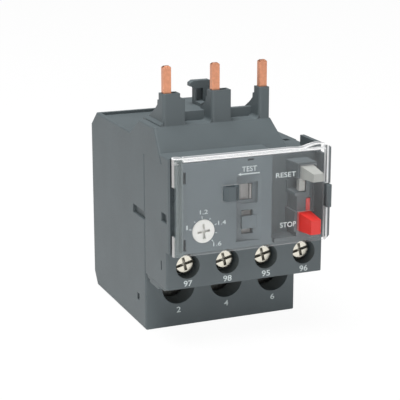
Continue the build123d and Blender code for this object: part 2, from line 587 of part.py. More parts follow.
def line_pin(k):
    """Copper prong with its strap through the hood to the top of the heater."""
    x = PRONG_X[k]
    y = HOOD_FRONT + TOWER_FRONT_WALL + SEAT
    left = x - PRONG_WIDTH / 2
    run_left = x + PIN_JOG - PIN_HALF
    run_right = x + PIN_JOG + PIN_HALF
    drop_y = CHAMBER_FRONT + 3.0
    tail_y = BIMETAL_Y + COIL_R + 1.5
    run_top = RUN_LEVEL + PIN_TAIL_WALL
    prong = block(left, left + PRONG_WIDTH, y, y + PRONG_THICK, PIN_LEVEL, PRONG_HEIGHT)
    prong = chamfer(prong.faces().sort_by(Axis.Z)[-1].edges(), 0.4)
    strap = block(left, run_right, y, y + PRONG_THICK, PIN_LEVEL, PIN_LEVEL + PIN_STRAP)
    strap += block(run_left, run_right, y, drop_y, PIN_LEVEL, PIN_LEVEL + PIN_STRAP)
    strap += block(run_left, run_right, drop_y - PIN_STRAP, drop_y, RUN_LEVEL, PIN_LEVEL + PIN_STRAP)
    strap += block(run_left, run_right, drop_y - PIN_STRAP, tail_y, RUN_LEVEL, run_top)
    strap += block(run_left, run_right, tail_y - PIN_TAIL_WALL, tail_y, COIL_TOP - 3, run_top)
    return prong + strap


def bimetal_strip(x):
    """Strip that bends to +X when the heater warms it."""
    half = BIMETAL_THICK / 2
    return block(x - half, x + half, BIMETAL_FRONT, BIMETAL_BACK, BIMETAL_ROOT_Z + 0.05, TIP_Z)


def heater_sleeve(x):
    """Insulating sleeve between the strip and the winding."""
    half = BIMETAL_THICK / 2
    sleeve = rod_z(x, BIMETAL_Y, COIL_R - COIL_WIRE_R - 0.02, COIL_BOTTOM - SLEEVE_LIP, COIL_TOP + SLEEVE_LIP)
    return sleeve - block(x - half, x + half, BIMETAL_FRONT, BIMETAL_BACK, COIL_BOTTOM - 5, COIL_TOP + 5)


def heater_winding(x):
    """Resistance wire wound round the sleeve."""
    return Pos(x, BIMETAL_Y, COIL_BOTTOM) * coil(COIL_R, COIL_WIRE_R, COIL_PITCH, COIL_TOP - COIL_BOTTOM)


def load_terminal(x):
    """Brass plate with the screw hole in front and the bracket of the strip behind."""
    foot_top = TERMINAL_TOP + TERMINAL_WALL
    plate = block(x - TERMINAL_HALF, x + TERMINAL_HALF, TERMINAL_FACE, TERMINAL_FACE + TERMINAL_WALL,
                  TERMINAL_BOTTOM, TERMINAL_TOP)
    plate -= rod_y(x, POWER_Z, POWER_SHANK_R + RUNNING, TERMINAL_FACE - 1, TERMINAL_FACE + 3)
    foot = block(x - 3.0, x + 3.0, TERMINAL_FACE, BIMETAL_BACK, TERMINAL_TOP, foot_top)
    return plate + foot + block(x - 0.8, x + 0.8, BIMETAL_FRONT, BIMETAL_BACK, foot_top, BIMETAL_ROOT_Z)


def power_clamp(x):
    """Square clamp washer under the head of the power screw."""
    back = TERMINAL_FACE - SEAT
    clamp = block(x - CLAMP_HALF, x + CLAMP_HALF, back - CLAMP_WALL, back, POWER_Z - CLAMP_HALF, POWER_Z + CLAMP_HALF)
    clamp = chamfer(clamp.edges().filter_by(Axis.Y), 0.5)
    return clamp - rod_y(x, POWER_Z, POWER_SHANK_R + RUNNING, back - 3, back + 1)


def driver_recess(x, z, front, reach, width, deep):
    """Cross recess with one through slot, for a flat or a cross driver."""
    short = 0.62 * reach
    cut = block(x - reach, x + reach, front - 1, front + deep, z - width / 2, z + width / 2)
    cut += block(x - width / 2, x + width / 2, front - 1, front + deep, z - short, z + short)
    return Pos(x, 0, z) * Rot(0, DRIVER_TILT, 0) * Pos(-x, 0, -z) * cut


def power_screw(x):
    head_back = TERMINAL_FACE - SEAT - CLAMP_WALL - 0.05
    head_front = head_back - POWER_HEAD_WALL
    screw = rod_y(x, POWER_Z, POWER_HEAD_R, head_front, head_back)
    screw = fillet(screw.faces().sort_by(Axis.Y)[0].edges(), 0.8)
    screw += rod_y(x, POWER_Z, POWER_SHANK_R, head_back - 0.1, TERMINAL_FACE + TERMINAL_WALL + 1.6)
    return screw - driver_recess(x, POWER_Z, head_front, POWER_HEAD_R - 0.8, 0.9, 1.2)


# Control housing: the moulded front that holds the trip mechanism and the auxiliary terminals

def control_housing():
    front = [(SIDE_FRONT, SHELF_BOTTOM), (BLOCK_FRONT, SHELF_BOTTOM), (BLOCK_FRONT, BLOCK_BOTTOM),
             (LOWER_FRONT, BLOCK_BOTTOM), (LOWER_FRONT, RIGHT_DECK_HEIGHT)]
    raised = [(HOOD_FOOT, RIGHT_DECK_HEIGHT), (slope_y(RAISED_TOP), RAISED_TOP), (SIDE_FRONT, RAISED_TOP)]
    body = round_sides(prism_x(front + [(SIDE_FRONT, RIGHT_DECK_HEIGHT)], RAISED_RIGHT, RIGHT), RIGHT)
    body += round_sides(prism_x(front + raised, LEFT, RAISED_RIGHT), LEFT, seam_z=RIGHT_DECK_HEIGHT)
    body += side_skirt()
    body = cut_mechanism_room(body)
    body = cut_aux_room(body)
    body = add_button_column(body)
    body = add_cover_fittings(body)
    for y0, y1, z0, z1 in CONTROL_POCKETS:
        body -= block(LEFT - 1, LEFT + POCKET_DEPTH, y0, y1, z0, z1)
    return body


def side_skirt():
    """Stepped lower edge of the left side wall, hanging below the block."""
    low, step, root = BLOCK_BOTTOM - SKIRT_DROP, BLOCK_BOTTOM - SKIRT_STEP, BLOCK_BOTTOM + 0.5
    outline = [(LOWER_FRONT - 0.6, root), (LOWER_FRONT - 1.7, step), (LOWER_FRONT - 3.0, step),
               (LOWER_FRONT - 3.0, low), (LOWER_FRONT - 9.5, low), (LOWER_FRONT - 10.3, step),
               (LOWER_FRONT - 13.7, step), (LOWER_FRONT - 15.3, root)]
    return prism_x(outline, LEFT + 0.2, LEFT + WALL)


def cut_mechanism_room(body):
    """Room behind the setting panel and behind the button recess, open to the rear."""
    room_left = PANEL_LEFT + WALL
    room_right = PANEL_RIGHT - THIN_WALL
    body -= block(INNER_LEFT, INNER_RIGHT, RECESS_FLOOR + THIN_WALL, LOWER_FRONT + 1, CAVITY_BOTTOM, CAVITY_TOP)
    body -= block(room_left, room_right, SIDE_FRONT - 1, RECESS_FLOOR + 2, CAVITY_BOTTOM, CAVITY_TOP)
    body -= block(room_left, room_right, SIDE_FRONT + 2.0, HOOD_FOOT - 0.6, CAVITY_TOP - 1, RAISED_CEILING)
    # the panel drops into a shallow step, and the barrel of the cover lies to its left
    barrel_top = max(RAISED_TOP, COVER_TOP) + 1
    barrel_back = HINGE_Y + BARREL_R + BARREL_ROOM
    body -= block(PANEL_LEFT - SEAT, RAISED_RIGHT + 1, SIDE_FRONT - 1, PANEL_BACK, PANEL_BOTTOM - SEAT,
                  PANEL_TOP + SEAT)
    body -= block(INNER_LEFT + 0.2, PANEL_LEFT, SIDE_FRONT - 1, barrel_back, COVER_BOTTOM - 1, barrel_top)
    body -= rod_z(HINGE_X, HINGE_Y, BARREL_R + BARREL_ROOM, COVER_BOTTOM - 1, barrel_top)
    # the recess to the right of the panel is open at the top
    return body - block(RAISED_RIGHT, RIGHT - RIM, SIDE_FRONT - 1, RECESS_FLOOR, CAVITY_BOTTOM, RAISED_TOP)


def cut_aux_room(body):
    """Four wells, the terminal room behind them and the wire entries underneath."""
    room_half = AUX_PLATE_HALF + SLIDING
    for x in AUX_X:
        body -= rod_y(x, AUX_Z, AUX_WELL_R, BLOCK_FRONT - 1, AUX_HEAD_BACK + 0.1)
        body -= block(x - room_half, x + room_half, AUX_HEAD_BACK, AUX_PLATE_BACK + SEAT,
                      BLOCK_BOTTOM + AUX_FLOOR, SHELF_BOTTOM - 0.1)
        body -= rod_z(x, AUX_ENTRY_Y, AUX_ENTRY_R, BLOCK_BOTTOM - 1, BLOCK_BOTTOM + AUX_FLOOR)
        body -= rod_y(x, AUX_Z, AUX_SHANK_R + 0.4, AUX_HEAD_BACK, AUX_PLATE_FRONT + 4.6)
    for left, right in CONTACT_SLOTS:
        body -= block(left - SEAT, right + SEAT, AUX_PLATE_FRONT - SEAT, AUX_PLATE_BACK + SEAT,
                      SHELF_BOTTOM - 0.2, CAVITY_BOTTOM + 0.1)
    return body


def reset_hood():
    """Hood round the reset button, its left wall flaring to the rear at the top."""
    left = RESET_X[0] - HOOD_GAP - HOOD_WALL
    right = RESET_X[1] + HOOD_GAP + HOOD_WALL
    front, back = PANEL_FRONT - 0.4, RECESS_FLOOR + 0.1
    low, high = COLUMN_TOP - 0.1, RESET_Z[1] + HOOD_GAP + HOOD_WALL
    outlines = []
    for z, rear_left in ((low, left), (high, left - HOOD_FLARE)):
        corners = ((left, front), (right, front), (right, back), (rear_left, back))
        outlines.append(make_face(Polyline(*[(x, y, z) for x, y in corners], close=True)))
    return loft(outlines, ruled=True)


def add_button_column(body):
    """Reset hood, stop panel and the slots for the legs of both buttons."""
    back = RECESS_FLOOR + 0.1
    column = block(COLUMN_LEFT, COLUMN_RIGHT, PANEL_FRONT, back, CAVITY_BOTTOM - 0.1, COLUMN_TOP)
    column = fillet(column.edges().filter_by(Axis.Z).sort_by(Axis.Y)[:2].sort_by(Axis.X)[-1], COLUMN_ROUND)
    for z0, z1 in ((COLUMN_TOP - CHEEK_HEIGHT, COLUMN_TOP), (STOP_Z[0] - 0.3, STOP_Z[1] + 0.2)):
        column += block(COLUMN_LEFT - CHEEK, COLUMN_LEFT + 0.1, PANEL_FRONT, back, z0, z1)
    body += column + reset_hood()
    inside = RECESS_FLOOR + THIN_WALL + 1
    gap = SLIDING / 2
    for (x0, x1), (z0, z1), clear in ((RESET_X, RESET_Z, HOOD_GAP), (STOP_X, STOP_Z, gap)):
        body -= block(x0 - clear, x1 + clear, PANEL_FRONT - 1, inside, z0 - gap, z1 + clear)
    # slots for the reset leg and the stop stem, deep enough for the full travel
    slot_back = LEG_BACK + BUTTON_TRAVEL + gap
    body -= block(COLUMN_LEFT - 1, RESET_LEG[1] + gap, PANEL_FRONT - 1, slot_back, RESET_LEG[2] - SLIDING,
                  RESET_Z[0])
    return body - block(STOP_STEM[0] - gap, STOP_STEM[1] + gap, PANEL_FRONT - 1, slot_back, STOP_Z[1],
                        STOP_STEM[3] + SLIDING)


def add_cover_fittings(body):
    """Hinge rod with its lugs, the catch on the right and the tab on the right deck."""
    rod = rod_z(HINGE_X, HINGE_Y, HINGE_PIN_R, *ROD_ENDS)
    for z in ROD_LUGS:
        rod += block(HINGE_X - 0.4, HINGE_X + 0.4, HINGE_Y, HINGE_Y + BARREL_R + BARREL_ROOM + 0.1, z - 0.7, z + 0.7)
    catch = prism_z([(CATCH_LEFT, CATCH_FRONT + 0.4), (CATCH_LEFT + 0.4, CATCH_FRONT),
                     (RIGHT - 0.4, CATCH_FRONT), (RIGHT, CATCH_FRONT + 0.4), (RIGHT, SIDE_FRONT + 0.1),
                     (RIGHT - RIM, SIDE_FRONT + 0.1), (RIGHT - RIM, COVER_FRONT - SLIDING),
                     (CATCH_LEFT, COVER_FRONT - SLIDING)], *CATCH_Z)
    return body + rod + catch + block(*TAB, RIGHT_DECK_HEIGHT - 0.1, RIGHT_DECK_HEIGHT + TAB_HEIGHT)


# Setting panel

def face_plate():
    """Setting panel with the dial hole, the two windows, the scoop and the seal loop."""
    before, behind = PANEL_FRONT - 1, PANEL_BACK + 1
    plate = block(PANEL_LEFT, PANEL_RIGHT, PANEL_FRONT, PANEL_BACK, PANEL_BOTTOM, PANEL_TOP)
    plate -= rod_y(DIAL_X, DIAL_Z, DIAL_R + RUNNING, before, behind)
    left, right, bottom, top = SCOOP
    scoop = prism_z([(left, before), (left, PANEL_FRONT + SCOOP_DEPTH), (right, PANEL_FRONT), (right, before)],
                    bottom, top)
    bridge_x, bridge_z = BRIDGE[:2], BRIDGE[2:]
    plate -= scoop - block(*bridge_x, before - 1, behind, *bridge_z)
    x0, x1, z0, z1 = TEST_WINDOW
    plate -= block(x0, x1, before, behind, z0, z1)
    plate -= block(x0 - 0.4, x1 + 1.3, before, PANEL_FRONT + WINDOW_STEP, z0 - 0.9, z1 + 0.5)
    x0, x1, z0, z1 = FLAG_WINDOW
    slot = block(x0, x1, before, behind, z0, z1)
    plate -= slot - block(*bridge_x, before - 1, PANEL_FRONT + BRIDGE_DEPTH, *bridge_z)
    for z0, z1 in SIDE_SLOTS:
        plate -= block(PANEL_LEFT + 0.4, PANEL_LEFT + 1.2, before, behind, z0, z1)
    notch_x = middle(TEST_WINDOW[:2]) + 0.9
    plate -= block(notch_x - 0.9, notch_x + 0.9, before, PANEL_FRONT + 0.8, PANEL_TOP - 0.7, PANEL_TOP - 0.3)
    return plate + seal_loop() + slider_rails() + follower_guides()


def seal_loop():
    """Bridge that a sealing wire passes through, standing through the cover."""
    x0, x1, z0, z1 = SEAL_LOOP
    centre = (x0 + x1) / 2
    front = PANEL_FRONT - SEAL_PROUD
    shoulder = PANEL_FRONT - 0.9
    outer = prism_z([(x0, PANEL_FRONT + 0.1), (x0, shoulder), (centre - 1.0, front), (centre + 1.0, front),
                     (x1, shoulder), (x1, PANEL_FRONT + 0.1)], z0, z1)
    in0, in1 = x0 + SEAL_WALL, x1 - SEAL_WALL
    inner = prism_z([(in0, PANEL_FRONT), (in0, shoulder + 0.3), (centre - 0.8, front + SEAL_WALL),
                     (centre + 0.8, front + SEAL_WALL), (in1, shoulder + 0.3), (in1, PANEL_FRONT)], z0 - 1, z1 + 1)
    return outer - inner


def slider_rails():
    """Rails behind the panel that guide the test slider."""
    x0, x1, z0, z1 = TEST_FLANGE
    rail_left, rail_right = x0 - TEST_TRAVEL - 0.6, x1 + 0.4
    depth = (PANEL_BACK - 0.1, TEST_FRONT + TEST_WALL)
    rails = block(rail_left, rail_right, *depth, z1 + RAIL_GAP, z1 + 1.0)
    for a, b in ((rail_left, FLAG_X[0] - SLIDING), (FLAG_X[1] + SLIDING, rail_right)):
        rails += block(a, b, *depth, z0 - 0.9, z0 - RAIL_GAP)
    return rails


def follower_guides():
    """Two ribs behind the panel that guide the foot of the adjusting slide."""
    guides = []
    for side in (-1, 1):
        near = DIAL_X + side * (FOLLOWER_HALF + SLIDING / 2)
        guides.append(block(near, near + side * 0.9, PANEL_BACK - 0.1, CAM_BACK, *GUIDE_Z))
    return guides[0] + guides[1]


# Clear cover

def cover_outline():
    """Front of the cover: its top edge rises to a lip with a rounded corner at the right."""
    lip = Spline((LIP_LEFT, COVER_FRONT, COVER_TOP), (LIP_LEFT + 4.0, COVER_FRONT, COVER_TOP - 0.1),
                 (COVER_RIGHT - 5.9, COVER_FRONT, COVER_TOP + 0.6 * LIP_RISE),
                 (COVER_RIGHT - 2.9, COVER_FRONT, COVER_TOP + LIP_RISE),
                 (COVER_RIGHT - 0.9, COVER_FRONT, COVER_TOP + 0.2), (COVER_RIGHT, COVER_FRONT, COVER_TOP - 1.0),
                 tangents=[(1, 0, 0), (0, 0, -1)])
    left = HINGE_X
    straight = Polyline(lip @ 1, (COVER_RIGHT, COVER_FRONT, COVER_BOTTOM + COVER_ROUND),
                        (COVER_RIGHT - COVER_ROUND, COVER_FRONT, COVER_BOTTOM), (left, COVER_FRONT, COVER_BOTTOM),
                        (left, COVER_FRONT, COVER_TOP), lip @ 0)
    return make_face(lip + straight)


def clear_cover():
    """Hinged transparent cover with windows for the buttons and the seal loop."""
    rim = COVER_WALL
    behind = COVER_RIM_BACK + 1
    cover = extrude(cover_outline(), amount=COVER_RIM_BACK - COVER_FRONT, dir=(0, 1, 0))
    cover -= block(COVER_LEFT, COVER_RIGHT - rim, COVER_INSIDE, behind, COVER_BOTTOM - 1, COVER_TOP - rim)
    cover -= block(COVER_LEFT, PANEL_LEFT + 0.2, COVER_INSIDE, behind, COVER_TOP - rim - 1, COVER_TOP + 1)
    barrel = rod_z(HINGE_X, HINGE_Y, BARREL_R, COVER_BOTTOM, COVER_TOP)
    # between its knuckles the barrel is cut away round the rod and its lugs
    gap_z = (KNUCKLE_BOTTOM_TO, KNUCKLE_TOP_FROM)
    barrel -= rod_z(HINGE_X, HINGE_Y, BARREL_R - 0.35, *gap_z)
    barrel -= block(HINGE_X - 2, HINGE_X + 2, HINGE_Y, HINGE_Y + 2, *gap_z)
    barrel -= block(HINGE_X - 2, HINGE_X - 0.5, HINGE_Y - 2, HINGE_Y + 1, *gap_z)
    cover += barrel
    bore_z = (ROD_ENDS[0] - 0.2, ROD_ENDS[1] + 0.2)
    cover -= rod_z(HINGE_X, HINGE_Y, HINGE_PIN_R + RUNNING, *bore_z)
    # snap slots at the back of the two knuckles
    slot = HINGE_PIN_R - 0.1
    cover -= block(HINGE_X - slot, HINGE_X + slot, HINGE_Y, HINGE_Y + 2, *bore_z)
    for (x0, x1), (z0, z1) in ((RESET_X, RESET_Z), (STOP_X, STOP_Z)):
        cover -= block(x0 - COVER_CLEAR, x1 + COVER_CLEAR, COVER_FRONT - 1, COVER_INSIDE + 0.5,
                       z0 - COVER_CLEAR, z1 + COVER_CLEAR)
    x0, x1, z0, z1 = SEAL_LOOP
    cover -= block(x0 - 0.5, x1 + 0.5, COVER_FRONT - 1, COVER_INSIDE + 0.5, z0 - 0.5, z1 + 0.5)
    return cover - block(CATCH_LEFT - SLIDING, RIGHT + 1, COVER_FRONT - 1, behind, CATCH_Z[0] - SLIDING,
                         CATCH_Z[1] + SLIDING)


# Buttons and dial

def tapered_cap(xs, zs, taper):
    """Button cap that narrows towards its face."""
    (x0, x1), (z0, z1) = xs, zs
    left, right, low, high = taper
    outlines = []
    for y, (a, b, c, d) in ((CAP_ROOT, (x0, x1, z0, z1)),
                            (BUTTON_FRONT, (x0 + left, x1 - right, z0 + low, z1 - high))):
        corners = ((a, c), (b, c), (b, d), (a, d))
        outlines.append(make_face(Polyline(*[(x, y, z) for x, z in corners], close=True)))
    return loft(outlines)


def push_button(xs, zs, taper, leg):
    """Button with its leg in front and the plunger behind that its spring sits on."""
    button = tapered_cap(xs, zs, taper) + block(*xs, CAP_ROOT, BUTTON_REAR, *zs)
    button += block(leg[0], leg[1], LEG_FRONT, LEG_BACK, leg[2], leg[3])
    return button + rod_y(middle(xs), middle(zs), PLUNGER_R, BUTTON_REAR - 0.1, PLUNGER_REAR)


def button_spring(xs, zs):
    """Return spring between the back of a button and its seat."""
    spring = coil(SPRING_R, SPRING_WIRE_R, SPRING_PITCH, SPRING_SEAT_Y - BUTTON_REAR)
    return Pos(middle(xs), SPRING_SEAT_Y, middle(zs)) * Rot(90, 0, 0) * spring


def dial_knob():
    """Current-setting dial with a cross recess, held by a flange behind the panel."""
    flange_front = PANEL_BACK + 0.2
    disc = rod_y(DIAL_X, DIAL_Z, DIAL_R, DIAL_FACE, flange_front + 0.1)
    disc = fillet(disc.faces().sort_by(Axis.Y)[0].edges(), 0.25)
    flange = rod_y(DIAL_X, DIAL_Z, DIAL_R + 0.7, flange_front, flange_front + DIAL_FLANGE)
    shaft = rod_y(DIAL_X, DIAL_Z, DIAL_SHAFT_R, flange_front + 0.8, CAM_FRONT)
    cross = block(-1.75, 1.75, DIAL_FACE - 1, DIAL_FACE + 1.3, -0.35, 0.35)
    cross += block(-0.4, 0.4, DIAL_FACE - 1, DIAL_FACE + 1.3, -2.1, 2.0)
    return disc + flange + shaft - Pos(DIAL_X, 0, DIAL_Z) * Rot(0, -5, 0) * cross


def adjusting_cam():
    """Spiral cam on the back of the dial."""
    points = []
    for angle in CAM_SPOKES:
        reach = CAM_R + CAM_RISE * radians(90 - angle)
        spoke = Vector(reach, 0, 0).rotate(Axis.Y, -angle)
        points.append((DIAL_X + spoke.X, CAM_FRONT, DIAL_Z + spoke.Z))
    curve = Spline(*points)
    closing = Polyline(curve @ 1, (DIAL_X, CAM_FRONT, DIAL_Z - 2.0), (DIAL_X + 2.0, CAM_FRONT, DIAL_Z - 0.6),
                       curve @ 0)
    return extrude(make_face(curve + closing), amount=CAM_BACK - CAM_FRONT, dir=(0, 1, 0))


def adjusting_slide():
    """Follower that the cam lifts, with the arm that shifts the trip point."""
    left = DIAL_X - FOLLOWER_HALF
    slide = block(left, DIAL_X + FOLLOWER_HALF, CAM_FRONT, CAM_BACK, DIAL_Z + CAM_R + 0.2, FOLLOWER_TOP)
    return slide + block(left, ROCKER_X - 1.0, CAM_FRONT, CAM_BACK, FOLLOWER_TOP - FOLLOWER_ARM, FOLLOWER_TOP)


def test_slider():
    """Slider behind the upper window, with the tail that pushes the rocker."""
    x0, x1, z0, z1 = TEST_FLANGE
    back = TEST_FRONT + TEST_WALL
    slider = block(x0, x1, TEST_FRONT, back, z0, z1)
    rib_x = TEST_WINDOW[0] + 2.9
    slider += block(rib_x, rib_x + 0.5, TEST_FRONT - 0.9, TEST_FRONT + 0.1, TEST_WINDOW[2] + 0.2,
                    TEST_WINDOW[3] - 0.2)
    tail_left = ROCKER_X + ROCKER_HALF + TEST_TRAVEL + 0.2
    tail_right = tail_left + 1.2
    slider += block(tail_left - 1.3, tail_right, back - 0.1, back + 0.6, *TAIL_Z)
    return slider + block(tail_left, tail_right, back, ROCKER_BACK - 0.1, *TAIL_Z)


# Trip mechanism

def mechanism_frame():
    """Plate behind the mechanism with the rocker axle, the spring seats and the lever lugs."""
    joined = FRAME_FRONT + 0.1
    window_z = (LEVER_Z[0] - LUG_GAP, LEVER_Z[1] + LUG_GAP)
    plate = block(INNER_LEFT + SEAT, INNER_RIGHT - SEAT, FRAME_FRONT, FRAME_BACK, CAVITY_BOTTOM + SEAT,
                  CAVITY_TOP - SEAT)
    plate -= block(*LEVER_WINDOW_X, FRAME_FRONT - 1, FRAME_BACK + 1, *window_z)
    for z in (window_z[0] - LUG_WALL, window_z[1]):
        plate += block(LEVER_X - LUG_HALF, LEVER_X + LUG_HALF, LEVER_Y - LUG_HALF, FRAME_BACK, z, z + LUG_WALL)
    plate += rod_y(ROCKER_X, ROCKER_Z, ROCKER_PIN_R + 0.3, ROCKER_BACK + 0.15, joined)
    plate += rod_y(ROCKER_X, ROCKER_Z, ROCKER_PIN_R, ROCKER_FRONT - 0.2, ROCKER_BACK + 0.2)
    for xs, zs in ((RESET_X, RESET_Z), (STOP_X, STOP_Z)):
        plate += rod_y(middle(xs), middle(zs), SPRING_SEAT_R, SPRING_SEAT_Y, joined)
        plate -= rod_y(middle(xs), middle(zs), PLUNGER_R + SEAT, SPRING_SEAT_Y - 1, FRAME_BACK + 1)
    # forked ribs that guide the rod, and rails for the contact carrier
    for x in (LEVER_X - 8.6, LEVER_X - 5.2):
        rib = block(x, x + 0.9, ROD_Y - 1.2, joined, ROD_Z - 1.8, ROD_Z + 1.8)
        plate += rib - block(x - 1, x + 2, ROD_Y - ROD_HALF - 0.2, ROD_Y + ROD_HALF + 0.2,
                             ROD_Z - ROD_HALF - 0.15, ROD_Z + ROD_HALF + 0.15)
    for x in CARRIER_RAILS:
        plate += block(x - 0.5, x + 0.5, CARRIER_BACK + 0.15, joined, CARRIER_Z[0] - 0.8, CARRIER_Z[1] + 2.4)
    return plate


def lever_pin():
    """Steel pin that the trip lever swings on."""
    return rod_z(LEVER_X, LEVER_Y, LEVER_PIN_R, LEVER_Z[0] - LUG_GAP, LEVER_Z[1] + LUG_GAP)


def trip_lever():
    """Lever from the slide bar in the chambers to the push rod in the control housing."""
    left, right = LEVER_X - LEVER_ARM, LEVER_X + LEVER_ARM
    lever = rod_z(LEVER_X, LEVER_Y, LEVER_HUB_R, *LEVER_Z)
    lever += block(left, right, LEVER_FRONT, LEVER_Y, *FRONT_ARM_Z)
    lever += block(left, right, LEVER_Y, LEVER_REAR, *REAR_ARM_Z)
    return lever - rod_z(LEVER_X, LEVER_Y, LEVER_PIN_R + RUNNING, LEVER_Z[0] - 1, LEVER_Z[1] + 1)


def push_rod():
    """Rod that the lever pushes against the rocker."""
    right = LEVER_X - LEVER_ARM - 0.25
    return block(ROCKER_X + ROCKER_HALF + 0.4, right, ROD_Y - ROD_HALF, ROD_Y + ROD_HALF, ROD_Z - ROD_HALF,
                 ROD_Z + ROD_HALF)


def compensation_strip():
    """Ambient-compensation bimetal riveted along the top of the push rod."""
    top = ROD_Z + ROD_HALF
    return block(ROCKER_X + 2.0, LEVER_X - 1.5, ROD_Y - 0.6, ROD_Y + 0.6, top, top + STRIP_WALL)


def rocker():
    """Bell-crank that turns the push of the rod into a lift of the contact carrier."""
    arm_end = CARRIER_ARM + 0.6
    outline = [(-ROCKER_HALF, -1.6), (ROCKER_HALF, -1.6), (1.9, -ROCKER_ARM), (arm_end, -ROCKER_ARM),
               (arm_end, ROCKER_ARM), (1.9, ROCKER_ARM), (ROCKER_HALF, 1.9),
               (ROCKER_HALF, ROCKER_TOP - ROCKER_Z), (-ROCKER_HALF, ROCKER_TOP - ROCKER_Z), (-ROCKER_HALF, 1.9),
               (-ROCKER_HUB, 0.8), (-ROCKER_HUB, -0.8)]
    crank = prism_y([(ROCKER_X + dx, ROCKER_Z + dz) for dx, dz in outline], ROCKER_FRONT, ROCKER_BACK)
    return crank - rod_y(ROCKER_X, ROCKER_Z, ROCKER_PIN_R + RUNNING, ROCKER_FRONT - 1, ROCKER_BACK + 1)


def contact_carrier():
    """Insulating bar that carries both moving bridges and the trip flag."""
    arm_x = ROCKER_X + CARRIER_ARM
    riser_foot = ROCKER_Z + ROCKER_ARM + 0.2
    riser_top = riser_foot + 1.1
    post_front = BRIDGE_Y[0] + 0.1
    joined = CARRIER_FRONT + 0.1
    carrier = block(NO_X[0] - 1.6, NC_X[1] + 1.1, CARRIER_FRONT, CARRIER_BACK, *CARRIER_Z)
    carrier += block(arm_x - 1.4, arm_x, CARRIER_FRONT, CARRIER_BACK, CARRIER_Z[1] - 0.1, riser_top)
    carrier += block(arm_x - 0.8, arm_x, ROCKER_FRONT + 0.1, joined, riser_foot, riser_top)
    nc, no = middle(NC_X), middle(NO_X)
    carrier += block(nc - POST_HALF, nc + POST_HALF, post_front, joined, NC_LEVEL + BRIDGE_WALL, NC_LEVEL + 1.8)
    return carrier + block(no - POST_HALF, no + POST_HALF, post_front, joined, NO_LEVEL - 1.4, NO_LEVEL)


def contact_bridge(xs, level, tips_up):
    """Springy bridge with a silver tip at each end."""
    y = middle(BRIDGE_Y)
    top = level + BRIDGE_WALL
    bridge = block(xs[0] - 1.1, xs[1] + 1.1, *BRIDGE_Y, level, top)
    for x in xs:
        if tips_up:
            bridge += rod_z(x, y, TIP_R, top - 0.1, top + TIP_WALL)
        else:
            bridge += rod_z(x, y, TIP_R, level - TIP_WALL, level + 0.1)
    return bridge


def trip_flag():
    """Indicator behind the lower window, on an arm from the contact carrier."""
    front = PANEL_BACK + SLIDING
    back = front + FLAG_WALL
    flag = block(*FLAG_X, front, back, *FLAG_Z)
    return flag + block(ROCKER_X - 1.2, ROCKER_X + 0.2, back - 0.1, CARRIER_FRONT, CARRIER_Z[0] + 0.6,
                        CARRIER_Z[0] + 2.0)


def aux_terminal(k):
    """Terminal plate of one auxiliary contact, with its fixed contact inside the control housing."""
    x = AUX_X[k]
    plate = block(x - AUX_PLATE_HALF, x + AUX_PLATE_HALF, AUX_PLATE_FRONT, AUX_PLATE_BACK, AUX_Z - 3.0,
                  SHELF_BOTTOM - 0.2)
    plate -= rod_y(x, AUX_Z, AUX_SHANK_R + RUNNING, AUX_PLATE_FRONT - 1, AUX_PLATE_BACK + 1)
    left, right = CONTACT_SLOTS[k]
    if AUX_NUMBERS[k] in (97, 98):
        tip_x = NO_X[k]
        level = NO_FIXED_LEVEL
        tip = rod_z(tip_x, middle(BRIDGE_Y), TIP_R, level - TIP_WALL, level + 0.1)
    else:
        tip_x = NC_X[k - 2]
        level = FIXED_LEVEL - FIXED_ARM
        tip = rod_z(tip_x, middle(BRIDGE_Y), TIP_R, FIXED_LEVEL - 0.1, FIXED_LEVEL + TIP_WALL)
    top = level + FIXED_ARM
    plate += block(left, right, AUX_PLATE_FRONT, AUX_PLATE_BACK, SHELF_BOTTOM - 0.3, top)
    plate += block(min(left, tip_x - 1), max(right, tip_x + 1), AUX_PLATE_FRONT, BRIDGE_Y[1], level, top)
    return plate + tip


def aux_clamp(x):
    """Square clamp washer under the head of an auxiliary screw."""
    front = AUX_HEAD_BACK + 0.05
    clamp = block(x - AUX_CLAMP_HALF, x + AUX_CLAMP_HALF, front, front + AUX_CLAMP_WALL,
                  AUX_Z - AUX_CLAMP_HALF, AUX_Z + AUX_CLAMP_HALF)
    return clamp - rod_y(x, AUX_Z, AUX_SHANK_R + RUNNING, front - 1, front + 2)


def aux_screw(x):
    screw = rod_y(x, AUX_Z, AUX_HEAD_R, AUX_HEAD_FRONT, AUX_HEAD_BACK)
    screw = fillet(screw.faces().sort_by(Axis.Y)[0].edges(), 0.6)
    screw += rod_y(x, AUX_Z, AUX_SHANK_R, AUX_HEAD_BACK - 0.1, AUX_PLATE_FRONT + 4.0)
    return screw - driver_recess(x, AUX_Z, AUX_HEAD_FRONT, AUX_HEAD_R + 0.1, 0.75, 0.9)


def slide_bar():
    """Bar that the strips push to +X, with one finger behind each strip tip."""
    back = BAR_Y + BAR_WALL
    tip_face = BIMETAL_THICK / 2 + TIP_GAP
    bar = block(POLE_X[0] - 4.5, POLE_X[2] + tip_face + FINGER, BAR_Y, back, BAR_BOTTOM, TIP_Z - 0.2)
    for x in POLE_X:
        face = x + tip_face
        bar += block(face, face + FINGER, BAR_Y, BIMETAL_BACK, TIP_Z - 1.6, TIP_Z - 0.2)
    finger_right = LEVER_X - LEVER_ARM - 0.2
    return bar + block(finger_right - 1.2, finger_right, BAR_Y, back, REAR_ARM_Z[0] + 0.2, BAR_BOTTOM + 0.1)


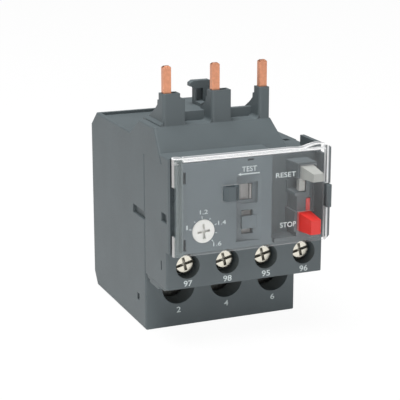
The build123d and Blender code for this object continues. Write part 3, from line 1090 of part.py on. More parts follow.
def differential_bar():
    """Second bar, which a missing phase holds back, with fingers on the other side of the tips."""
    front = BAR_Y + BAR_WALL + BAR_GAP
    top = TIP_Z - 1.9
    bar = block(POLE_X[0] - 4.5, LEVER_X - 0.8, front, front + SECOND_BAR_WALL, BAR_BOTTOM, top)
    for x in POLE_X:
        face = x - BIMETAL_THICK / 2 - BACK_TIP_GAP
        bar += block(face - FINGER, face, front, BIMETAL_BACK, BAR_BOTTOM, top)
    return bar


def build():
    """Every node of the relay and its solid or solids."""
    nodes = {
        "main_housing": main_housing(),
        "back_plate": back_plate(),
        "control_housing": control_housing(),
        "face_plate": face_plate(),
        "clear_cover": clear_cover(),
        "mechanism_frame": mechanism_frame(),
        "dial_knob": dial_knob(),
        "adjusting_cam": adjusting_cam(),
        "adjusting_slide": adjusting_slide(),
        "test_slider": test_slider(),
        "reset_button": push_button(RESET_X, RESET_Z, RESET_TAPER, RESET_LEG),
        "reset_spring": button_spring(RESET_X, RESET_Z),
        "stop_button": push_button(STOP_X, STOP_Z, STOP_TAPER, STOP_STEM),
        "stop_spring": button_spring(STOP_X, STOP_Z),
        "lever_pin": lever_pin(),
        "trip_lever": trip_lever(),
        "push_rod": push_rod(),
        "compensation_strip": compensation_strip(),
        "rocker": rocker(),
        "contact_carrier": contact_carrier(),
        "nc_bridge": contact_bridge(NC_X, NC_LEVEL, False),
        "no_bridge": contact_bridge(NO_X, NO_LEVEL, True),
        "trip_flag": trip_flag(),
        "slide_bar": slide_bar(),
        "differential_bar": differential_bar(),
    }
    for k, x in enumerate(POLE_X):
        nodes[f"line_pin_{k + 1}"] = line_pin(k)
        nodes[f"bimetal_strip_{k + 1}"] = bimetal_strip(x)
        nodes[f"heater_sleeve_{k + 1}"] = heater_sleeve(x)
        nodes[f"heater_winding_{k + 1}"] = heater_winding(x)
        nodes[f"load_terminal_{k + 1}"] = load_terminal(x)
        nodes[f"power_clamp_{k + 1}"] = power_clamp(x)
        nodes[f"power_screw_{k + 1}"] = power_screw(x)
    for k, number in enumerate(AUX_NUMBERS):
        nodes[f"aux_terminal_{number}"] = aux_terminal(k)
        nodes[f"aux_screw_{number}"] = aux_screw(AUX_X[k])
    nodes["aux_clamps"] = Compound(children=[aux_clamp(x) for x in AUX_X])
    return nodes


def write(nodes):
    os.makedirs("parts", exist_ok=True)
    for name, shape in nodes.items():
        export_step(shape, f"parts/{name}.step")


write(build())
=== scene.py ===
from collections import namedtuple
from math import cos, pi, radians, sin

import bmesh
import bpy
from bpy.props import FloatProperty, FloatVectorProperty, IntProperty, PointerProperty
from mathutils import Matrix, Vector


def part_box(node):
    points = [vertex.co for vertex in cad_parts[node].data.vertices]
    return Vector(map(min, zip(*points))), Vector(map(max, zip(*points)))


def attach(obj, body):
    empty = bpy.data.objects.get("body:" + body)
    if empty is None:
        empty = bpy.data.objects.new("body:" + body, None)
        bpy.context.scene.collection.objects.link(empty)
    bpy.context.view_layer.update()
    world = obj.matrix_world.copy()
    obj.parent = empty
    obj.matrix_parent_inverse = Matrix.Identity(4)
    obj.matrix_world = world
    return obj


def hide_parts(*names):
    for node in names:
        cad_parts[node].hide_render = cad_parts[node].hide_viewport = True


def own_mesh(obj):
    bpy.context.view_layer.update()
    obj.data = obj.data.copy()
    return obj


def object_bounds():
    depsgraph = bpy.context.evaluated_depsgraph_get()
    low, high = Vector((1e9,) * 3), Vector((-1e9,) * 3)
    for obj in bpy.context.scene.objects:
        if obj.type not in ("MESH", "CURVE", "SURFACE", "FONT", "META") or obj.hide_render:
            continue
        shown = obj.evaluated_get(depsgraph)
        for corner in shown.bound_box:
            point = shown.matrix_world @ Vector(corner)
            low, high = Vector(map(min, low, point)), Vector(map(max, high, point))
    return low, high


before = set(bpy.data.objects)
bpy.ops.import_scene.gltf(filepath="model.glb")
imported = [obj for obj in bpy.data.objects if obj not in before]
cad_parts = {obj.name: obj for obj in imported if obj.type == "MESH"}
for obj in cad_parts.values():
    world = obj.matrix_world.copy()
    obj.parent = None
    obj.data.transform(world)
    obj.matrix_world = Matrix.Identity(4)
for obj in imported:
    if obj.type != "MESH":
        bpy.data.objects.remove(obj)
CAD_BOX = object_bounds()

bl_info = {
    "name": "Overload Relay",
    "version": (1, 0, 0),
    "blender": (4, 5, 0),
    "location": "3D View > Sidebar > Relay",
    "description": "Finishes a plug-in thermal overload relay: plastics, metals, print, springs and stage",
    "category": "Object",
}


def middle(node):
    """The middle of a CAD node's box."""
    low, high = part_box(node)
    return tuple((a + b) / 2 for a, b in zip(low, high))


# Fronts that carry print, as depths along Y, in metres

DIAL_STANDS_OUT = 0.0002
AUX_SCREW_DEPTH = 0.0024
POWER_SCREW_DEPTH = 0.00725
AUX_SCREW_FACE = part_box("aux_screw_97")[0][1]
COVER_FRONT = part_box("clear_cover")[0][1]
PANEL_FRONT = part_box("dial_knob")[0][1] + DIAL_STANDS_OUT
BLOCK_FRONT = AUX_SCREW_FACE - AUX_SCREW_DEPTH
LOWER_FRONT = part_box("power_screw_1")[0][1] - POWER_SCREW_DEPTH
INK_THICKNESS = 0.00003
INK_SPREAD = 0.008

# Print: text, middle and half width in X, base and height in Z

Print = namedtuple("Print", "name text middle half_width base height")
COVER_WORDS = (
    Print("word_reset", "RESET", 0.0094, 0.0029, 0.0445, 0.0013),
    Print("word_stop", "STOP", 0.010225, 0.002325, 0.0309, 0.0014),
)
TEST_WORD = Print("word_test", "TEST", -0.0003, 0.0021, 0.0466, 0.0014)

# Terminal numbers, from left to right; a pole's nodes end in 1, 2 or 3

AUX_NUMBERS = ("97", "98", "95", "96")
AUX_NUMBER_BASE = 0.0168
AUX_NUMBER_HALF_WIDTH = 0.0012
POLES = {1: "2", 2: "4", 3: "6"}
POLE_NUMBER_BASE = 0.0038
POLE_NUMBER_HALF_WIDTH = 0.0006

# Dial scale: places are measured from the middle of the dial

DialNumber = namedtuple("DialNumber", "text across up half_width")
DialTicks = namedtuple("DialTicks", "name first spread count length")
DIAL_NUMBERS = (
    DialNumber("1", -0.00456, 0.00085, 0.00022),
    DialNumber("1.2", 0.0001, 0.00455, 0.0011),
    DialNumber("1.4", 0.0052, 0.00125, 0.0011),
    DialNumber("1.6", 0.0039, -0.00435, 0.00115),
)
DIAL_NUMBER_HEIGHT = 0.00115
DIAL_TICKS = (
    DialTicks("scale_long", 168, -216, 4, 0.0007),
    DialTicks("scale_short", 132, -144, 3, 0.0005),
)
TICK_START_RADIUS = 0.0034
TICK_THICKNESS = 0.00006
TICK_WIDTH = 0.0002

# Camera, fitted to corners of the relay in the photograph, with its shifts to the right and up

CAMERA_TURN = radians(-22.632)
CAMERA_RISE = radians(14.977)
CAMERA_ROLL = radians(-0.032)
CAMERA_TARGET = Vector((0, 0, 0.030))
CAMERA_DISTANCE = 0.362407
CAMERA_RIGHT = -0.00229
CAMERA_UP = 0.001964

# Lamps and floor

LAMP_TARGET = Vector((0, 0, 0.035))
KEY_PLACE = (-0.20, -0.10, 0.96)
KEY_SIZE = 0.55
FILL_PLACE = (-0.20, -0.85, 0.04)
FILL_SIZE = 0.5
FLOOR_HALF_SIZE = 1.2
FLOOR_GAP = 0.0002
FLOOR_SEEN_GLOW = 0.95
WHITE = (1, 1, 1, 1)


# Sizes and colours that a user would change

class RelayFinish(bpy.types.PropertyGroup):
    housing: FloatVectorProperty(
        name="Housing", description="Colour of the two moulded housings", subtype="COLOR", size=3,
        default=(0.083, 0.102, 0.109), min=0, max=1)
    panel: FloatVectorProperty(
        name="Panel", description="Colour of the setting panel", subtype="COLOR", size=3,
        default=(0.114, 0.143, 0.157), min=0, max=1)
    copper: FloatVectorProperty(
        name="Copper", description="Colour of the line prongs", subtype="COLOR", size=3,
        default=(0.72, 0.33, 0.20), min=0, max=1)
    stop_red: FloatVectorProperty(
        name="Stop button", description="Colour of the stop button", subtype="COLOR", size=3,
        default=(0.64, 0.028, 0.022), min=0, max=1)
    reset_grey: FloatVectorProperty(
        name="Reset button", description="Colour of the reset button", subtype="COLOR", size=3,
        default=(0.375, 0.385, 0.365), min=0, max=1)
    ink: FloatVectorProperty(
        name="Ink", description="Colour of the printed words and numbers", subtype="COLOR", size=3,
        default=(0.60, 0.66, 0.66), min=0, max=1)
    grain: FloatProperty(
        name="Grain", description="Size of the moulded surface grain", unit="LENGTH",
        default=0.00022, min=0.00005, max=0.001, precision=5)


class RelayDetail(bpy.types.PropertyGroup):
    cap_height: FloatProperty(
        name="Letter height", description="Height of the numbers under the wells", unit="LENGTH",
        default=0.00160, min=0.0005, max=0.003, precision=5)
    spring_turns: IntProperty(
        name="Spring turns", description="Turns of each button spring", default=5, min=2, max=12)
    spring_wire: FloatProperty(
        name="Spring wire", description="Radius of the spring wire", unit="LENGTH",
        default=0.0002, min=0.0001, max=0.0005, precision=5)
    heater_turns: IntProperty(
        name="Heater turns", description="Turns of each heater winding", default=8, min=3, max=16)
    heater_wire: FloatProperty(
        name="Heater wire", description="Radius of the heater wire", unit="LENGTH",
        default=0.00045, min=0.0002, max=0.001, precision=5)


class RelayStage(bpy.types.PropertyGroup):
    key: FloatProperty(
        name="Key lamp", description="Power of the large lamp above the relay", unit="POWER",
        default=13.5, min=0, max=50)
    fill: FloatProperty(
        name="Fill lamp", description="Power of the low lamp in front", unit="POWER",
        default=3.2, min=0, max=50)
    sky: FloatProperty(
        name="Surround", description="Strength of the white surround", default=0.25, min=0, max=2)
    bounce: FloatProperty(
        name="Floor bounce", description="Share of white glow in the floor", default=0.3, min=0, max=1)
    focal: FloatProperty(
        name="Focal length", description="Lens of the camera", unit="CAMERA", default=116.49, min=20, max=300)


# Node helpers

class Wiring:
    """Short calls for the nodes of one tree."""

    def __init__(self, tree):
        self.tree = tree

    def node(self, kind, links=(), **values):
        """A node with its settings or plain input values, fed by the given (input, source) links."""
        made = self.tree.nodes.new(kind)
        for key, value in values.items():
            if hasattr(made, key):
                setattr(made, key, value)
            else:
                made.inputs[key.replace("_", " ")].default_value = value
        for socket, source in links:
            self.tree.links.new(source, made.inputs[socket])
        return made

    def maths(self, operation, *terms):
        """The result of a Math node on sockets and plain numbers."""
        made = self.node("ShaderNodeMath", operation=operation)
        for socket, term in zip(made.inputs, terms):
            if isinstance(term, bpy.types.NodeSocket):
                self.tree.links.new(term, socket)
            else:
                socket.default_value = term
        return made.outputs[0]


class Shader(Wiring):
    """A material under construction."""

    def __init__(self, name):
        self.material = bpy.data.materials.new(name)
        self.material.use_nodes = True
        super().__init__(self.material.node_tree)
        self.bsdf = self.tree.nodes["Principled BSDF"]
        self.coords = self.node("ShaderNodeTexCoord").outputs["Object"]

    def part(self, axis, vector=None):
        """One axis of a vector, or of the place on the object."""
        split = self.node("ShaderNodeSeparateXYZ", [("Vector", vector or self.coords)])
        return split.outputs[axis]

    def stretched(self, scale):
        return self.node("ShaderNodeMapping", [("Vector", self.coords)], Scale=scale).outputs["Vector"]

    def noise(self, scale, detail, vector=None):
        made = self.node("ShaderNodeTexNoise", [("Vector", vector or self.coords)],
                         Scale=scale, Detail=detail)
        return made.outputs["Fac"]

    def ranged(self, source, low, high, from_low=0.3, from_high=0.7):
        made = self.node("ShaderNodeMapRange", [("Value", source)], From_Min=from_low, From_Max=from_high,
                         To_Min=low, To_Max=high)
        return made.outputs["Result"]

    def above(self, source, edge, blur):
        """1 over the edge and 0 under it, blended across the blur."""
        return self.ranged(source, 0.0, 1.0, edge - blur / 2, edge + blur / 2)

    def below(self, source, edge, blur):
        """1 under the edge and 0 over it, blended across the blur."""
        return self.ranged(source, 1.0, 0.0, edge - blur / 2, edge + blur / 2)

    def product(self, first, second):
        return self.maths("MULTIPLY", first, second)

    def most(self, first, second):
        return self.maths("MAXIMUM", first, second)

    def blended(self, factor, first, second):
        """From the first colour to the second, each a socket or three numbers."""
        made = self.node("ShaderNodeMix", data_type="RGBA")
        colours = [socket for socket in made.inputs if socket.type == "RGBA"]
        factors = [socket for socket in made.inputs if socket.type == "VALUE"]
        self.tree.links.new(factor, factors[0])
        for socket, value in zip(colours, (first, second)):
            if isinstance(value, bpy.types.NodeSocket):
                self.tree.links.new(value, socket)
            else:
                socket.default_value = (*value, 1)
        return [socket for socket in made.outputs if socket.type == "RGBA"][0]

    def bump(self, height, strength, distance, edge=0.0):
        """Relief, and edges that look rounded by the given radius."""
        made = self.node("ShaderNodeBump", [("Height", height)], Strength=strength, Distance=distance)
        if edge:
            rounded = self.node("ShaderNodeBevel", samples=4, Radius=edge)
            self.tree.links.new(rounded.outputs["Normal"], made.inputs["Normal"])
        self.feed("Normal", made.outputs["Normal"])

    def feed(self, socket, source):
        self.tree.links.new(source, self.bsdf.inputs[socket])

    def put(self, **values):
        """Set plain inputs of the surface and return the material."""
        for key, value in values.items():
            self.bsdf.inputs[key.replace("_", " ")].default_value = value
        return self.material


def scaled(colour, factor):
    return tuple(min(1.0, part * factor) for part in colour)


# Materials

def moulded_plastic(name, colour, roughness, grain, depth=0.00001, cloud=0.06, face=None):
    """Matt moulded plastic with grain, flow clouds and softened edges, with painted shade on parts sunk
    behind or standing in front of the given face in Y.
    """
    make = Shader(name)
    clouds = make.ranged(make.noise(90.0, 4.0), 0.0, 1.0)
    shade = make.blended(clouds, scaled(colour, 1 - cloud), scaled(colour, 1 + cloud))
    if face is not None:
        # Painted shade: parts sunk behind the face or standing in front of it are painted darker.
        place = make.part("Y")
        sunk = make.above(place, edge=face + 0.00065, blur=0.0011)
        proud = make.below(place, edge=face - 0.00075, blur=0.0009)
        shade = make.blended(make.most(sunk, proud), shade, scaled(colour, 0.65))
    make.feed("Base Color", shade)
    fine = make.noise(1.0 / grain, 2.0)
    make.feed("Roughness", make.ranged(fine, roughness - 0.05, roughness + 0.07))
    make.bump(fine, strength=0.5, distance=depth, edge=0.00018)
    return make.put(IOR=1.5)


def glowing_plastic(name, colour, roughness, grain, glow):
    """Moulded plastic with a painted white glow, which keeps it bright in the shade of the cover."""
    material = moulded_plastic(name, colour, roughness, grain, 0.000004, cloud=0.02)
    surface = material.node_tree.nodes["Principled BSDF"].inputs
    # Painted light: the plastic glows white, though it is no lamp.
    surface["Emission Color"].default_value = WHITE
    surface["Emission Strength"].default_value = glow
    return material


def clear_plastic(name, box):
    """Thin polished transparent plastic: nearly invisible face on, with painted highlights and painted shade
    on its rims.
    """
    make = Shader(name)
    low, high = box
    across = make.part("X")
    rounded = make.node("ShaderNodeBevel", samples=8, Radius=0.0008)
    lean = make.part("Z", rounded.outputs["Normal"])
    top_rim = make.above(make.part("Z"), edge=high[2] - 0.0025, blur=0.0002)
    # Painted highlight along the rounded top rim, and painted grey shade on the flat of the top.
    crown_highlight = make.product(make.above(lean, edge=0.21, blur=0.18), top_rim)
    flat_top_shade = make.product(make.above(lean, edge=0.945, blur=0.09), top_rim)
    # Painted bands along the right rim: a painted highlight, then painted shade at the very edge.
    edge_shade = make.above(across, edge=high[0] - 0.0007, blur=0.0003)
    edge_highlight = make.above(across, edge=high[0] - 0.0012, blur=0.0002)
    # Painted grey tone along the hinge strip at the left, standing in for its sheen, with a painted glint at
    # its outer edge.
    barrel_sheen = make.below(across, edge=low[0] + 0.0025, blur=0.0002)
    glint = make.product(make.below(across, edge=low[0] + 0.00035, blur=0.0002), barrel_sheen)
    facing = make.node("ShaderNodeLayerWeight", Blend=0.25).outputs["Facing"]
    # Painted shade: a dark outline where the surface turns edge-on to the view.
    outline = make.above(facing, edge=0.94, blur=0.08)

    opacity = make.ranged(facing, 0.04, 0.45, 0.1, 0.95)
    # The painted highlights, sheen and glint also show more solid.
    for mask, share in ((edge_highlight, 0.80), (crown_highlight, 0.92), (barrel_sheen, 0.4), (glint, 0.7)):
        opacity = make.most(opacity, make.product(mask, share))
    make.feed("Alpha", opacity)

    tint = (0.80, 0.82, 0.83)
    # Painted rim colours laid over the clear tint: shade, sheen, glint, highlight and outline.
    for mask, colour in ((edge_shade, (0.10, 0.115, 0.125)), (barrel_sheen, (0.27, 0.31, 0.31)),
                         (glint, (0.55, 0.54, 0.53)), (crown_highlight, (0.98, 0.98, 0.98)),
                         (flat_top_shade, (0.36, 0.37, 0.38)), (outline, (0.08, 0.09, 0.095))):
        tint = make.blended(mask, tint, colour)
    make.feed("Base Color", tint)
    make.bump(make.noise(120.0, 1.0), strength=0.04, distance=0.00003, edge=0.00015)
    return make.put(Roughness=0.06, IOR=1.49)


def drawn_metal(name, colour, roughness, speck=0.25):
    """Metal with drawing marks along Z and paler and darker flats."""
    make = Shader(name)
    marks = make.noise(9000.0, 3.0, make.stretched((1, 1, 0.06)))
    blotches = make.ranged(make.noise(1500.0, 4.0), 0.0, 1.0, 0.35, 0.65)
    make.feed("Base Color", make.blended(blotches, scaled(colour, 1 - speck), scaled(colour, 1 + speck)))
    make.feed("Roughness", make.ranged(marks, roughness - 0.1, roughness + 0.12))
    make.bump(marks, strength=0.35, distance=0.000012, edge=0.0001)
    return make.put(Metallic=1.0)


def plated_steel(name, colour, roughness, face=None):
    """Bright plated metal with fine turning marks, with painted shade in a drive sunk below the given face in
    Y.
    """
    make = Shader(name)
    marks = make.noise(4200.0, 3.0)
    shade = make.blended(make.ranged(marks, 0.0, 1.0), scaled(colour, 0.9), scaled(colour, 1.08))
    if face is not None:
        # Painted shade: the sunken drive is painted darker.
        drive = make.above(make.part("Y"), edge=face + 0.00013, blur=0.00014)
        shade = make.blended(drive, shade, scaled(colour, 0.35))
    make.feed("Base Color", shade)
    make.feed("Roughness", make.ranged(marks, roughness - 0.05, roughness + 0.1))
    make.bump(marks, strength=0.08, distance=0.000008, edge=0.00012)
    return make.put(Metallic=1.0)


def woven_sleeve(name, colour):
    """Braided glass sleeve: two crossing sets of bands."""
    make = Shader(name)
    bands = [
        make.node("ShaderNodeTexWave", [("Vector", make.stretched(lay))],
                  bands_direction="DIAGONAL", Scale=900.0).outputs["Fac"]
        for lay in ((1, 1, 1), (-1, 1, -1))
    ]
    braid = make.product(*bands)
    make.feed("Base Color", make.blended(braid, scaled(colour, 0.75), colour))
    make.bump(braid, strength=0.6, distance=0.00008)
    return make.put(Roughness=0.85)


def ink_film(name, colour):
    """Thin pad-printed ink, a little broken by the grain under it."""
    make = Shader(name)
    breaks = make.ranged(make.noise(2600.0, 3.0), 0.0, 1.0, 0.25, 0.6)
    make.feed("Base Color", make.blended(breaks, scaled(colour, 0.82), colour))
    return make.put(Roughness=0.6)


def finishes():
    """Every material by name, made once from the user's colours."""
    made = bpy.data.materials
    if "housing_plastic" in made:
        return made
    tint = bpy.context.scene.relay_finish
    grain = tint.grain
    fine_grain = grain * 0.8
    moulded_plastic("housing_plastic", tuple(tint.housing), 0.55, grain)
    # The panel gets painted shade on its sunken and raised parts.
    moulded_plastic("panel_plastic", tuple(tint.panel), 0.5, grain, face=PANEL_FRONT)
    moulded_plastic("button_grey", tuple(tint.reset_grey), 0.42, fine_grain, 0.000005)
    moulded_plastic("button_red", tuple(tint.stop_red), 0.36, fine_grain, 0.000004, cloud=0.04)
    # The dial gets a painted glow.
    glowing_plastic("dial_white", (0.97, 0.965, 0.97), 0.4, fine_grain, glow=0.2)
    moulded_plastic("window_plastic", (0.28, 0.272, 0.262), 0.5, grain)
    moulded_plastic("inner_plastic", (0.50, 0.47, 0.40), 0.5, grain)
    # The cover gets painted highlights and painted shade on its rims.
    clear_plastic("clear_cover_plastic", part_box("clear_cover"))
    drawn_metal("prong_copper", tuple(tint.copper), 0.38, speck=0.07)
    drawn_metal("terminal_brass", (0.62, 0.44, 0.17), 0.3)
    drawn_metal("terminal_tinned", (0.42, 0.42, 0.40), 0.4)
    drawn_metal("strip_metal", (0.50, 0.47, 0.42), 0.38)
    drawn_metal("heater_wire", (0.20, 0.18, 0.17), 0.5)
    plated_steel("screw_metal", (0.66, 0.63, 0.55), 0.24)
    # The aux screws get painted shade in their drives.
    plated_steel("drive_metal", (0.70, 0.67, 0.58), 0.26, AUX_SCREW_FACE)
    plated_steel("spring_metal", (0.55, 0.55, 0.55), 0.3)
    plated_steel("contact_silver", (0.72, 0.72, 0.70), 0.3)
    woven_sleeve("sleeve_braid", (0.70, 0.66, 0.52))
    ink_film("print_ink", tuple(tint.ink))
    return made


# Piece helpers

def dress(material, *nodes):
    """Put one material on each of the given CAD nodes."""
    for name in nodes:
        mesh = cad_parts[name].data
        mesh.materials.clear()
        mesh.materials.append(finishes()[material])


def piece(name, mesh, body, material=None):
    """An object at the origin that rides on a body."""
    made = bpy.data.objects.new(name, mesh)
    bpy.context.scene.collection.objects.link(made)
    if material:
        mesh.materials.clear()
        mesh.materials.append(finishes()[material])
    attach(made, body)
    return made


def baked(made, name):
    """The evaluated mesh of an object, with its place in the mesh."""
    depsgraph = bpy.context.evaluated_depsgraph_get()
    mesh = bpy.data.meshes.new_from_object(made.evaluated_get(depsgraph))
    mesh.transform(made.matrix_world)
    mesh.name = name
    return mesh


def printed(word, front, body):
    """A word or number in ink on a front, fitted to its width and height."""
    curve = bpy.data.curves.new(word.name + "_text", "FONT")
    curve.body = word.text
    curve.extrude = INK_THICKNESS / 2
    curve.offset = INK_SPREAD
    holder = bpy.data.objects.new(word.name + "_text", curve)
    bpy.context.scene.collection.objects.link(holder)
    bpy.context.view_layer.update()
    mesh = baked(holder, word.name)
    bpy.data.objects.remove(holder)
    bpy.data.curves.remove(curve)
    xs = [vertex.co.x for vertex in mesh.vertices]
    ys = [vertex.co.y for vertex in mesh.vertices]
    wide = 2 * word.half_width / (max(xs) - min(xs))
    tall = word.height / (max(ys) - min(ys))
    left = word.middle - word.half_width
    for vertex in mesh.vertices:
        across, up, out = vertex.co
        x = left + (across - min(xs)) * wide
        z = word.base + (up - min(ys)) * tall
        vertex.co = (x, front - INK_THICKNESS / 2 - out, z)
    return piece(word.name, mesh, body, "print_ink")


def arrow_outline(tip, neck, end, height, head, shaft):
    """An arrow that points to -X: places along X, its height in Z, half widths of head and shaft."""
    return [(tip, height), (neck, height + head), (neck, height + shaft), (end, height + shaft),
            (end, height - shaft), (neck, height - shaft), (neck, height - head)]


def prism_mesh(name, outline, front_y, back_y):
    """A closed slab between two depths, from an outline of (x, z) points."""
    build = bmesh.new()
    front = [build.verts.new((x, front_y, z)) for x, z in outline]
    back = [build.verts.new((x, back_y, z)) for x, z in outline]
    build.faces.new(front)
    build.faces.new(back[::-1])
    for k in range(len(outline)):
        after = (k + 1) % len(outline)
        build.faces.new((front[k], back[k], back[after], front[after]))
    bmesh.ops.recalc_face_normals(build, faces=build.faces)
    mesh = bpy.data.meshes.new(name)
    build.to_mesh(mesh)
    build.free()
    return mesh


# Geometry Nodes trees

class Growth(Wiring):
    """A Geometry Nodes tree with named inputs, turned into a plain mesh when it is grown."""

    def __init__(self, name, inputs):
        super().__init__(bpy.data.node_groups.new(name, "GeometryNodeTree"))
        self.sockets = {}
        for label, kind, default in inputs:
            made = self.tree.interface.new_socket(label, in_out="INPUT", socket_type=kind)
            if default is not None:
                made.default_value = default
            self.sockets[label] = made.identifier
        self.tree.interface.new_socket("Geometry", in_out="OUTPUT", socket_type="NodeSocketGeometry")
        self.given = self.node("NodeGroupInput").outputs
        self.out = self.node("NodeGroupOutput")

    def finish(self, geometry, material):
        """End the tree with real geometry in one material."""
        real = self.node("GeometryNodeRealizeInstances", [("Geometry", geometry)])
        painted = self.node("GeometryNodeSetMaterial", [("Geometry", real.outputs["Geometry"])],
                            Material=finishes()[material])
        self.tree.links.new(painted.outputs["Geometry"], self.out.inputs[0])

    def grow(self, name, body, slot=None, **values):
        """Run the tree with these inputs and return the piece that it makes."""
        holder = bpy.data.objects.new(name + "_seed", bpy.data.meshes.new(name + "_seed"))
        bpy.context.scene.collection.objects.link(holder)
        modifier = holder.modifiers.new("grow", "NODES")
        modifier.node_group = self.tree
        for label, value in values.items():
            modifier[self.sockets[label.replace("_", " ")]] = value
        bpy.context.view_layer.update()
        mesh = baked(holder, name)
        holder.modifiers.clear()
        bpy.data.objects.remove(holder)
        return piece(name, mesh, body)


def coil_tree(material):
    """A wire wound along Z: turns, coil radius, wire radius, length, place and turn."""
    tree = Growth("coil_" + material, [
        ("Turns", "NodeSocketFloat", 5.0),
        ("Coil Radius", "NodeSocketFloat", 0.002),
        ("Wire Radius", "NodeSocketFloat", 0.0002),
        ("Length", "NodeSocketFloat", 0.005),
        ("Place", "NodeSocketVector", None),
        ("Turn", "NodeSocketVector", None),
    ])
    given = tree.given
    spiral = tree.node("GeometryNodeCurveSpiral", [
        ("Rotations", given["Turns"]), ("Start Radius", given["Coil Radius"]),
        ("End Radius", given["Coil Radius"]), ("Height", given["Length"])], Resolution=28)
    profile = tree.node("GeometryNodeCurvePrimitiveCircle", [("Radius", given["Wire Radius"])], Resolution=10)
    wire = tree.node("GeometryNodeCurveToMesh", [
        ("Curve", spiral.outputs["Curve"]), ("Profile Curve", profile.outputs["Curve"])], Fill_Caps=True)
    smooth = tree.node("GeometryNodeSetShadeSmooth", [("Geometry", wire.outputs["Mesh"])])
    placed = tree.node("GeometryNodeTransform", [
        ("Geometry", smooth.outputs["Geometry"]), ("Translation", given["Place"]),
        ("Rotation", given["Turn"])])
    tree.finish(placed.outputs["Geometry"], material)
    return tree


def fan_tree(material):
    """Ticks spread on an arc in the XZ plane: count, radius, first angle, spread, tick size and centre."""
    tree = Growth("fan_" + material, [
        ("Count", "NodeSocketInt", 6),
        ("Radius", "NodeSocketFloat", 0.004),
        ("Start", "NodeSocketFloat", 0.0),
        ("Spread", "NodeSocketFloat", 1.0),
        ("Size", "NodeSocketVector", None),
        ("Place", "NodeSocketVector", None),
    ])
    given = tree.given
    bar = tree.node("GeometryNodeMeshCube", [("Size", given["Size"])])
    outwards = tree.node("ShaderNodeCombineXYZ", [("X", given["Radius"])])
    tick = tree.node("GeometryNodeTransform", [
        ("Geometry", bar.outputs["Mesh"]), ("Translation", outwards.outputs["Vector"])])

    index = tree.node("GeometryNodeInputIndex").outputs["Index"]
    share = tree.maths("DIVIDE", index, tree.maths("SUBTRACT", given["Count"], 1.0))
    angle = tree.maths("MULTIPLY_ADD", share, given["Spread"], given["Start"])
    spin = tree.node("ShaderNodeCombineXYZ", [("Y", tree.maths("MULTIPLY", angle, -1.0))])

    dots = tree.node("GeometryNodeMeshLine", [("Count", given["Count"])])
    centred = tree.node("GeometryNodeSetPosition", [
        ("Geometry", dots.outputs["Mesh"]), ("Position", given["Place"])])
    ticks = tree.node("GeometryNodeInstanceOnPoints", [
        ("Points", centred.outputs["Geometry"]), ("Instance", tick.outputs["Geometry"]),
        ("Rotation", spin.outputs["Vector"])])
    tree.finish(ticks.outputs["Instances"], material)
    return tree


# Operators

